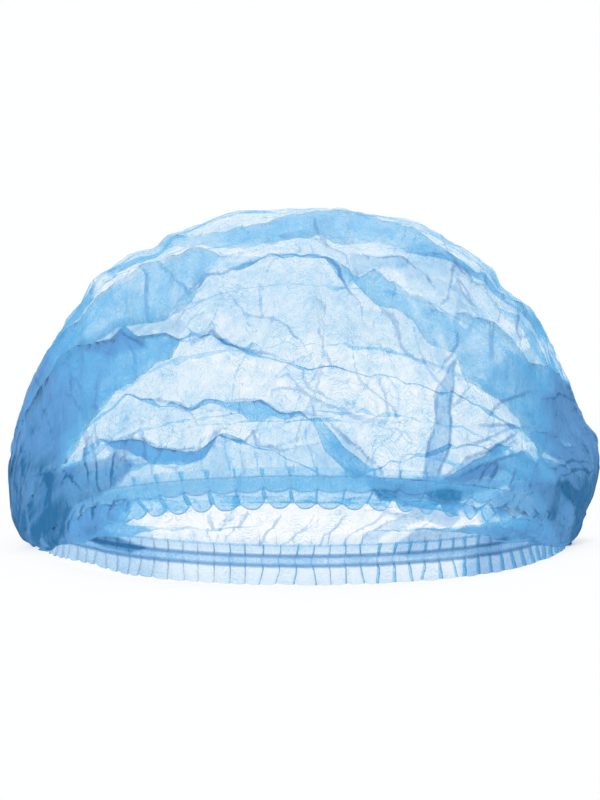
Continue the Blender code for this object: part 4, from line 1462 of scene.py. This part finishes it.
def hem_values(side, places, folds, rows, points):
    """How far each point is from a line, and how many extra layers lie there."""
    style = HEM_STYLE[side]
    count = PLEATS_ON_HEM[side]
    level, grip, channel = rows["level"], rows["grip"], rows["channel"]
    pitch = length_of(end_line) / count / MM
    fold_distance = np.min(np.abs(places[:, None] - folds[None, :]), axis=1)[:, None] * pitch
    crease = fold_distance / (style["edge"] * (1.02 - 0.95 * grip))
    channel_line = np.maximum(channel / MM - 0.2, 0) / style["channel"] - style["channel_dark"]
    crease = np.minimum(crease, channel_line)
    crease = np.minimum(crease, (level / MM + 0.15) / style["free"])
    for stitch_level in STITCH_LEVELS[side]:
        crease = np.minimum(crease, np.abs(level - stitch_level) / MM / 0.25 + 0.3)
    near_end = np.minimum(places / count, 1 - places / count)[:, None]
    layers = style["layers"] + style["end_layers"] * smooth_step(1 - near_end / END_REACH)
    layers = layers + style["grip"] * grip
    layers = layers + style["free_layers"] * rows["free"] + style["upper_layers"] * rows["upper"]
    layers = layers + FOLD_SHADE * smooth_step(1 - fold_distance / (0.3 * pitch)) * (1 - grip)
    across_picture, down_picture = in_picture(points)
    for name, extra, fade, outline_points in HEM_PATCHES[side]:
        inwards = inside_outline(outline_points, across_picture, down_picture)
        layers = layers + extra * smooth_step(inwards / fade + 0.5)
    return {"crease": crease, "layers": layers}


hems = {}
for side, (places, flat, lifts, folds) in hem_grids.items():
    rows = hem_rows(side, len(places))
    points = hem_points(side, places, flat, lifts, rows)
    values = hem_values(side, places, folds, rows, points)
    hems[side] = sheet_piece(f"{side}_hem_cloth", points, hem_cloth(points, rows), values)
    print(measures(hems[side]))

# %% [markdown]
# ## The elastics
# A flat elastic is a ribbon of rubber threads side by side. It starts as a circle, which is
# stretched to the rim's oval, cut in half and pulled up to its width, one row of faces for each
# thread. Thickness comes from Solidify, and an inset raises the broad sides a little off their
# edges.

# %% Elastics
ELASTIC_INWARD = 0.25 * MM
ELASTIC_THICK = 0.7 * MM
ELASTIC_EDGE = 0.12 * MM
ELASTIC_RISE = 0.10 * MM
THREAD_WIDTH = 0.9 * MM
elastics = {}


def select_in_edit(piece, element, test):
    """Opens a piece in edit mode with only the vertices, edges or faces that pass the test."""
    bpy.ops.object.mode_set(mode="EDIT")
    bpy.ops.mesh.select_mode(type=element)
    mesh = bmesh.from_edit_mesh(piece.data)
    for item in [*mesh.verts, *mesh.edges, *mesh.faces]:
        item.select = False
    chosen = {"VERT": mesh.verts, "EDGE": mesh.edges, "FACE": mesh.faces}[element]
    for item in chosen:
        item.select_set(bool(test(item)))
    mesh.select_flush_mode()
    bmesh.update_edit_mesh(piece.data)


def make_elastic(side):
    """Half an oval ribbon between the two welds, with a row of faces for each thread."""
    way = -1 if side == "front" else 1
    threads = round(ELASTIC_WIDTH[side] / THREAD_WIDTH)
    deselect_all()
    bpy.ops.mesh.primitive_circle_add(vertices=160, radius=1, location=(0, 0, 0))
    ribbon = bpy.context.object
    ribbon.name = f"{side}_elastic_ribbon"
    ribbon.scale = (HALF_RIM[0] - ELASTIC_INWARD, HALF_RIM[1] - ELASTIC_INWARD, 1)
    bpy.ops.object.transform_apply(location=False, rotation=False, scale=True)
    bpy.ops.object.mode_set(mode="EDIT")
    # The ribbon before this one leaves face select on, and a bare circle has no face to select
    bpy.ops.mesh.select_mode(type="VERT")
    bpy.ops.mesh.select_all(action="SELECT")
    bpy.ops.mesh.bisect(
        plane_co=(0, way * WELD_HALF * 0.8, 0), plane_no=(0, way, 0), clear_inner=True,
    )
    bpy.ops.mesh.select_all(action="SELECT")
    bpy.ops.transform.translate(value=(0, 0, ELASTIC_LEVEL - ELASTIC_WIDTH[side] / 2))
    for thread in range(threads):
        bpy.ops.mesh.extrude_region_move(
            TRANSFORM_OT_translate={"value": (0, 0, ELASTIC_WIDTH[side] / threads)},
        )
    bpy.ops.object.mode_set(mode="OBJECT")
    wall = ribbon.modifiers.new("thickness", "SOLIDIFY")
    wall.thickness = ELASTIC_THICK
    wall.offset = 0
    bpy.ops.object.modifier_apply(modifier=wall.name)
    select_in_edit(ribbon, "FACE", lambda face: abs(face.normal.z) < 0.3 and face.calc_area() > MM * MM)
    bpy.ops.mesh.inset(
        thickness=ELASTIC_EDGE, depth=ELASTIC_RISE, use_individual=False, use_even_offset=True,
    )
    bpy.ops.mesh.select_all(action="SELECT")
    bpy.ops.mesh.normals_make_consistent(inside=False)
    deselect_all()
    ribbon.data.shade_smooth()
    return ribbon


for side in ("front", "rear"):
    elastics[side] = make_elastic(side)
    print(measures(elastics[side]))

# %% [markdown]
# ## The welds
# At each end all the layers are melted together under a ribbed tool. The weld is a thin block
# with worn edges, pressed in small squares, and drawn out to a tip at its lower outer corner.

# %% Welds
WELD_SIZE = np.array((6.2, 7.0, 18.4)) * MM
WELD_MIDDLE = 118.6 * MM
WELD_TIP = 1.4 * MM
WELD_OFF_FLOOR = 0.1 * MM
WELD_BEVEL = 1.0 * MM
SQUARE_CUTS = 5
SQUARE_EDGE = 0.10 * MM
SQUARE_DEPTH = 0.12 * MM


def make_weld(side):
    """One end's weld, on the left (-1) or the right (1)."""
    deselect_all()
    middle = (side * WELD_MIDDLE, 0, WELD_SIZE[2] / 2 + WELD_OFF_FLOOR)
    bpy.ops.mesh.primitive_cube_add(size=1, location=middle)
    weld = bpy.context.object
    weld.name = "left_weld_block" if side < 0 else "right_weld_block"
    weld.scale = WELD_SIZE
    bpy.ops.object.transform_apply(location=True, rotation=False, scale=True)
    outside = side * WELD_MIDDLE + side * WELD_SIZE[0] / 2
    select_in_edit(weld, "VERT", lambda v: abs(v.co.x - outside) < 1e-4 and v.co.z < MM)
    bpy.ops.transform.translate(value=(side * WELD_TIP, 0, 0))
    bpy.ops.mesh.select_all(action="SELECT")
    bpy.ops.mesh.bevel(offset=WELD_BEVEL, segments=3, affect="EDGES")
    bpy.ops.mesh.select_all(action="SELECT")
    bpy.ops.mesh.subdivide(number_cuts=SQUARE_CUTS)
    select_in_edit(weld, "FACE", lambda face: abs(face.normal.x) > 0.9 or abs(face.normal.y) > 0.9)
    bpy.ops.mesh.inset(thickness=SQUARE_EDGE, depth=-SQUARE_DEPTH, use_individual=True)
    deselect_all()
    weld.data.shade_smooth()
    return weld


welds = {"left": make_weld(-1), "right": make_weld(1)}
for weld in welds.values():
    print(measures(weld))

# %% [markdown]
# ## Materials
# Shader maths reads best as plain arithmetic. This small class holds one output socket, and an
# expression on it adds the Math nodes that work it out.

# %% Shader maths
class Value:
    """A node's output socket that can be used in arithmetic."""

    def __init__(self, shader, socket):
        self.shader, self.socket = shader, socket

    def maths(self, operation, other, flipped=False):
        """A Math node on this value and another one."""
        first, second = (other, self) if flipped else (self, other)
        return self.shader.node("ShaderNodeMath", {"operation": operation}, {0: first, 1: second})

    def __add__(self, other):
        return self.maths("ADD", other)

    def __radd__(self, other):
        return self.maths("ADD", other)

    def __sub__(self, other):
        return self.maths("SUBTRACT", other)

    def __rsub__(self, other):
        return self.maths("SUBTRACT", other, flipped=True)

    def __mul__(self, other):
        return self.maths("MULTIPLY", other)

    def __rmul__(self, other):
        return self.maths("MULTIPLY", other)

    def __truediv__(self, other):
        return self.maths("DIVIDE", other)

    def __pow__(self, other):
        return self.maths("POWER", other)

    def clamped(self):
        """This value between 0 and 1."""
        return self.shader.node("ShaderNodeClamp", {}, {"Value": self})


class Shader:
    """A new material's nodes."""

    def __init__(self, name):
        self.material = bpy.data.materials.new(name)
        self.material.use_nodes = True
        self.tree = self.material.node_tree
        self.tree.nodes.clear()
        self.output = self.tree.nodes.new("ShaderNodeOutputMaterial")

    def node(self, kind, settings, inputs, output=0):
        """Adds a node: its settings first, then the values and links of its sockets."""
        node = self.tree.nodes.new(kind)
        for name, setting in settings.items():
            if name == "stops":
                while len(node.color_ramp.elements) < len(setting):
                    node.color_ramp.elements.new(0.5)
                for element, (place, colour) in zip(node.color_ramp.elements, setting):
                    element.position, element.color = place, colour
            else:
                setattr(node, name, setting)
        for name, value in inputs.items():
            if isinstance(value, Value):
                self.tree.links.new(value.socket, node.inputs[name])
            else:
                node.inputs[name].default_value = value
        return Value(self, node.outputs[output])

    def finish(self, surface):
        """Sends a shader to the material's surface, and gives the material."""
        self.tree.links.new(surface.socket, self.output.inputs["Surface"])
        return self.material


def blend_colour(shader, factor, first, second):
    """A colour between two others."""
    return shader.node(
        "ShaderNodeMix", {"data_type": "RGBA"}, {"Factor": factor, "A": first, "B": second}, output=2,
    )


def bumped(shader, height, strength, distance):
    """A Bump node's direction for a height."""
    return shader.node("ShaderNodeBump", {}, {"Height": height, "Strength": strength, "Distance": distance})


def see_through(shader, stop, surface):
    """A surface that stops a share of the light and lets the rest go straight on."""
    clear = shader.node("ShaderNodeBsdfTransparent", {}, {"Color": (1, 1, 1, 1)})
    return shader.node("ShaderNodeMixShader", {}, {0: stop, 1: clear, 2: surface})


print("shader helpers ready")

# %% [markdown]
# ## The cloth
# Spunbond cloth is a web of loose fibres, pressed together in a grid of tiny points. Part of
# the light goes straight between the fibres, and the rest is scattered forwards and backwards,
# tinted blue. So the material mixes a clear shader with a scattering one. One layer lets a
# certain share through, and a number of layers lets through that share to the power of the
# number, which is why closed pleats turn dark so quickly.

# %% Patterns of the cloth
SCALES = {
    "web": 480.0, "clouds": 55.0, "bend": 110.0, "fine": 340.0, "small": 120.0, "points": 620.0,
    "waves": 150.0,
}
BEND_SIZE = 0.009


def cloth_patterns(shader):
    """The patterns that every cloth has: fibres, pressed points, fine creases and crepe."""
    place = shader.node("ShaderNodeUVMap", {"uv_map": "cloth"}, {})
    flat = {"noise_dimensions": "2D"}
    web = shader.node("ShaderNodeTexNoise", flat, {
        "Vector": place, "Scale": SCALES["web"], "Detail": 5.0, "Roughness": 0.7,
    })
    clouds = shader.node("ShaderNodeTexNoise", flat, {
        "Vector": place, "Scale": SCALES["clouds"], "Detail": 3.0,
    })
    bend = shader.node("ShaderNodeTexNoise", flat, {
        "Vector": place, "Scale": SCALES["bend"], "Detail": 3.0,
    }, output=1)
    warped = shader.node("ShaderNodeVectorMath", {"operation": "MULTIPLY_ADD"}, {
        0: bend, 1: (BEND_SIZE, BEND_SIZE, BEND_SIZE), 2: place,
    })
    edges = {"voronoi_dimensions": "2D", "feature": "DISTANCE_TO_EDGE"}
    facets = {"voronoi_dimensions": "2D", "feature": "F1"}
    fine = shader.node("ShaderNodeTexVoronoi", edges, {"Vector": warped, "Scale": SCALES["fine"]})
    small = shader.node("ShaderNodeTexVoronoi", edges, {"Vector": warped, "Scale": SCALES["small"]})
    small_facet = shader.node("ShaderNodeTexVoronoi", facets, {
        "Vector": warped, "Scale": SCALES["small"],
    }, output=1)
    points = shader.node("ShaderNodeTexVoronoi", facets, {
        "Vector": place, "Scale": SCALES["points"], "Randomness": 0.25,
    })
    waves = shader.node("ShaderNodeTexWave", {"bands_direction": "Y"}, {
        "Vector": warped, "Scale": SCALES["waves"], "Distortion": 7.0, "Detail": 2.0,
        "Detail Scale": 1.4,
    }, output=1)
    crepe = (waves * 2.4 - 1.3).clamped() * (clouds * 5 - 2.3).clamped()
    return web, clouds, fine, small, small_facet, points, crepe


print("patterns:", ", ".join(SCALES))

# %% [markdown]
# The number of layers at each point is one, and the extra layers of the mesh, and the lines. It
# gives both the share of the light that the cloth stops and its tone, from pale to deep blue.

# %% Cloth material
PALE = (0.14, 0.60, 0.94, 1)
MIDDLE = (0.15, 0.38, 0.71, 1)
DEEP = (0.015, 0.16, 0.38, 1)
THROUGH = (0.16, 0.60, 0.94, 1)
TONES = ((0.0, PALE), (0.38, MIDDLE), (1.0, DEEP))
LINE_REACH = 0.55
LINE_LAYERS = 2.2
LEAST_COUNT = 0.06


def cloth_material(name, cover, line_cover, deepest):
    """A see-through blue nonwoven: what a layer and a line stop, and how many layers look deepest."""
    shader = Shader(name)
    crease = shader.node("ShaderNodeAttribute", {"attribute_name": "crease"}, {}, output=2)
    layers = shader.node("ShaderNodeAttribute", {"attribute_name": "layers"}, {}, output=2)
    web, clouds, fine, small, small_facet, points, crepe = cloth_patterns(shader)
    fine_line = (1 - fine * 6).clamped() * (clouds * 3 - 1.1).clamped()
    small_line = (1 - small * 13).clamped() * (2.0 - clouds * 3).clamped()
    line = (1 - crease / LINE_REACH).maths("MAXIMUM", 0)
    fibre = (web - 0.5) * 1.2 + (clouds - 0.5) * 0.35 + (0.45 - points).clamped() * 0.3
    lines = line * LINE_LAYERS + fine_line * 0.4 + small_line * 0.5 + crepe * 1.3
    count = 1 + layers + lines + (small_facet - 0.5) * 0.28
    passed = (1 - cover * (1 + fibre)) ** count.maths("MAXIMUM", LEAST_COUNT) * (1 - line * line_cover)
    mottle = (web - 0.5) * 1.6 + (clouds - 0.5) * (1 + layers * 0.5)
    tone = ((layers + line * 7 + lines * 0.4 + mottle) / deepest).clamped()
    colour = shader.node("ShaderNodeValToRGB", {"stops": TONES}, {"Fac": tone})
    height = web * 0.5 + (fine * 3).clamped() * 0.5 + (small * 4).clamped() + crepe * 0.4 - line * 0.5
    bump = bumped(shader, height, 0.6, 0.6 * MM)
    scatter = shader.node("ShaderNodeBsdfPrincipled", {}, {
        "Base Color": colour, "Roughness": 0.62, "Specular IOR Level": 0.2, "Normal": bump,
    })
    through = shader.node("ShaderNodeBsdfTranslucent", {}, {"Color": THROUGH, "Normal": bump})
    fibres = shader.node("ShaderNodeMixShader", {}, {0: 0.4 * (1 - tone), 1: scatter, 2: through})
    return shader.finish(see_through(shader, (1 - passed).clamped(), fibres))


CROWN_STYLE = {"cover": 0.22, "line_cover": 0.34, "deepest": 12.0}
crown_finish = cloth_material("crown cloth", **CROWN_STYLE)
for half in crown.values():
    half.data.materials.append(crown_finish)
for side, hem in hems.items():
    style = {setting: HEM_STYLE[side][setting] for setting in CROWN_STYLE}
    hem.data.materials.append(cloth_material(f"{side} hem cloth", **style))
# Cloth this thin hardly shades the floor, and the photo shows no shadow at all
for cloth_half in [*crown.values(), *hems.values()]:
    cloth_half.visible_shadow = False
    cloth_half.visible_diffuse = False
print("cloth materials:", crown_finish.name, "and two for the hems")

# %% [markdown]
# ## Elastic, weld and floor
# The elastic is pale blue rubber with fine cross ribs, where it has shrunk. Here it is partly
# see-through, by a share that was fitted to the tone of the photo's bands.

# %% Elastic material
ELASTIC_COVER = {"front": 0.26, "rear": 0.25}


def elastic_material(name, cover):
    """Blue rubber with fine cross ribs, of which a share covers what lies behind it."""
    shader = Shader(name)
    place = shader.node("ShaderNodeTexCoord", {}, {}, output=3)
    rib = shader.node("ShaderNodeTexNoise", {}, {"Vector": place, "Scale": 900.0, "Detail": 2.0})
    patch = shader.node("ShaderNodeTexNoise", {}, {"Vector": place, "Scale": 120.0, "Detail": 3.0})
    tone = (patch + (rib - 0.5) * 1.2).clamped()
    colour = blend_colour(shader, tone, (0.24, 0.66, 0.95, 1), (0.09, 0.42, 0.80, 1))
    rubber = shader.node("ShaderNodeBsdfPrincipled", {}, {
        "Base Color": colour, "Roughness": 0.55, "Normal": bumped(shader, rib, 0.5, 0.3 * MM),
    })
    return shader.finish(see_through(shader, (cover + (tone - 0.5) * 0.4).clamped(), rubber))


for side, ribbon in elastics.items():
    ribbon.data.materials.append(elastic_material(f"{side} elastic", ELASTIC_COVER[side]))
print("elastic materials:", len(elastics))

# %% [markdown]
# The weld is the same cloth melted to a film: deeper blue, smoother and glossier. The floor is
# matt white paper with a faint tooth.

# %% Weld and floor materials
def weld_material():
    """Cloth melted to a film, deep blue, a little glossy and mottled."""
    shader = Shader("melted cloth")
    place = shader.node("ShaderNodeTexCoord", {}, {}, output=3)
    mottle = shader.node("ShaderNodeTexNoise", {}, {"Vector": place, "Scale": 380.0, "Detail": 4.0})
    layers = shader.node("ShaderNodeTexWave", {"bands_direction": "Y"}, {
        "Vector": place, "Scale": 260.0, "Distortion": 3.0,
    })
    tone = (mottle * 0.7 + layers * 0.4).clamped()
    colour = blend_colour(shader, tone, (0.03, 0.17, 0.42, 1), (0.09, 0.34, 0.66, 1))
    film = shader.node("ShaderNodeBsdfPrincipled", {}, {
        "Base Color": colour, "Roughness": 0.38 + mottle * 0.25,
        "Normal": bumped(shader, mottle + layers * 0.5, 0.5, 0.4 * MM),
    })
    return shader.finish(film)


def paper_material():
    """Matt white paper."""
    shader = Shader("white paper")
    place = shader.node("ShaderNodeTexCoord", {}, {}, output=3)
    tooth = shader.node("ShaderNodeTexNoise", {}, {"Vector": place, "Scale": 90.0, "Detail": 4.0})
    colour = blend_colour(shader, tooth, (0.885, 0.89, 0.895, 1), (0.90, 0.905, 0.91, 1))
    paper = shader.node("ShaderNodeBsdfPrincipled", {}, {
        "Base Color": colour, "Roughness": 0.9, "Specular IOR Level": 0.1,
    })
    return shader.finish(paper)


weld_finish = weld_material()
for weld in welds.values():
    weld.data.materials.append(weld_finish)
floor.data.materials.append(paper_material())
print("weld and floor materials done")

# %% [markdown]
# ## Bodies
# Each piece rides on the cap's one body, and the frame's solid that it stands for is hidden. The
# strip was 533 mm long. The crown took 430 mm of its width, half for each of its two meshes, and
# each hem took 37 mm, folded double.

# %% Bodies and hidden solids
for side, half in crown.items():
    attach(half, "root")
    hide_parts("crown")
for side, hem in hems.items():
    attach(hem, "root")
    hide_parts(f"{side}_hem")
for side, ribbon in elastics.items():
    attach(ribbon, "root")
    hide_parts(f"{side}_elastic")
for side, weld in welds.items():
    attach(weld, "root")
    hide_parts(f"{side}_weld")
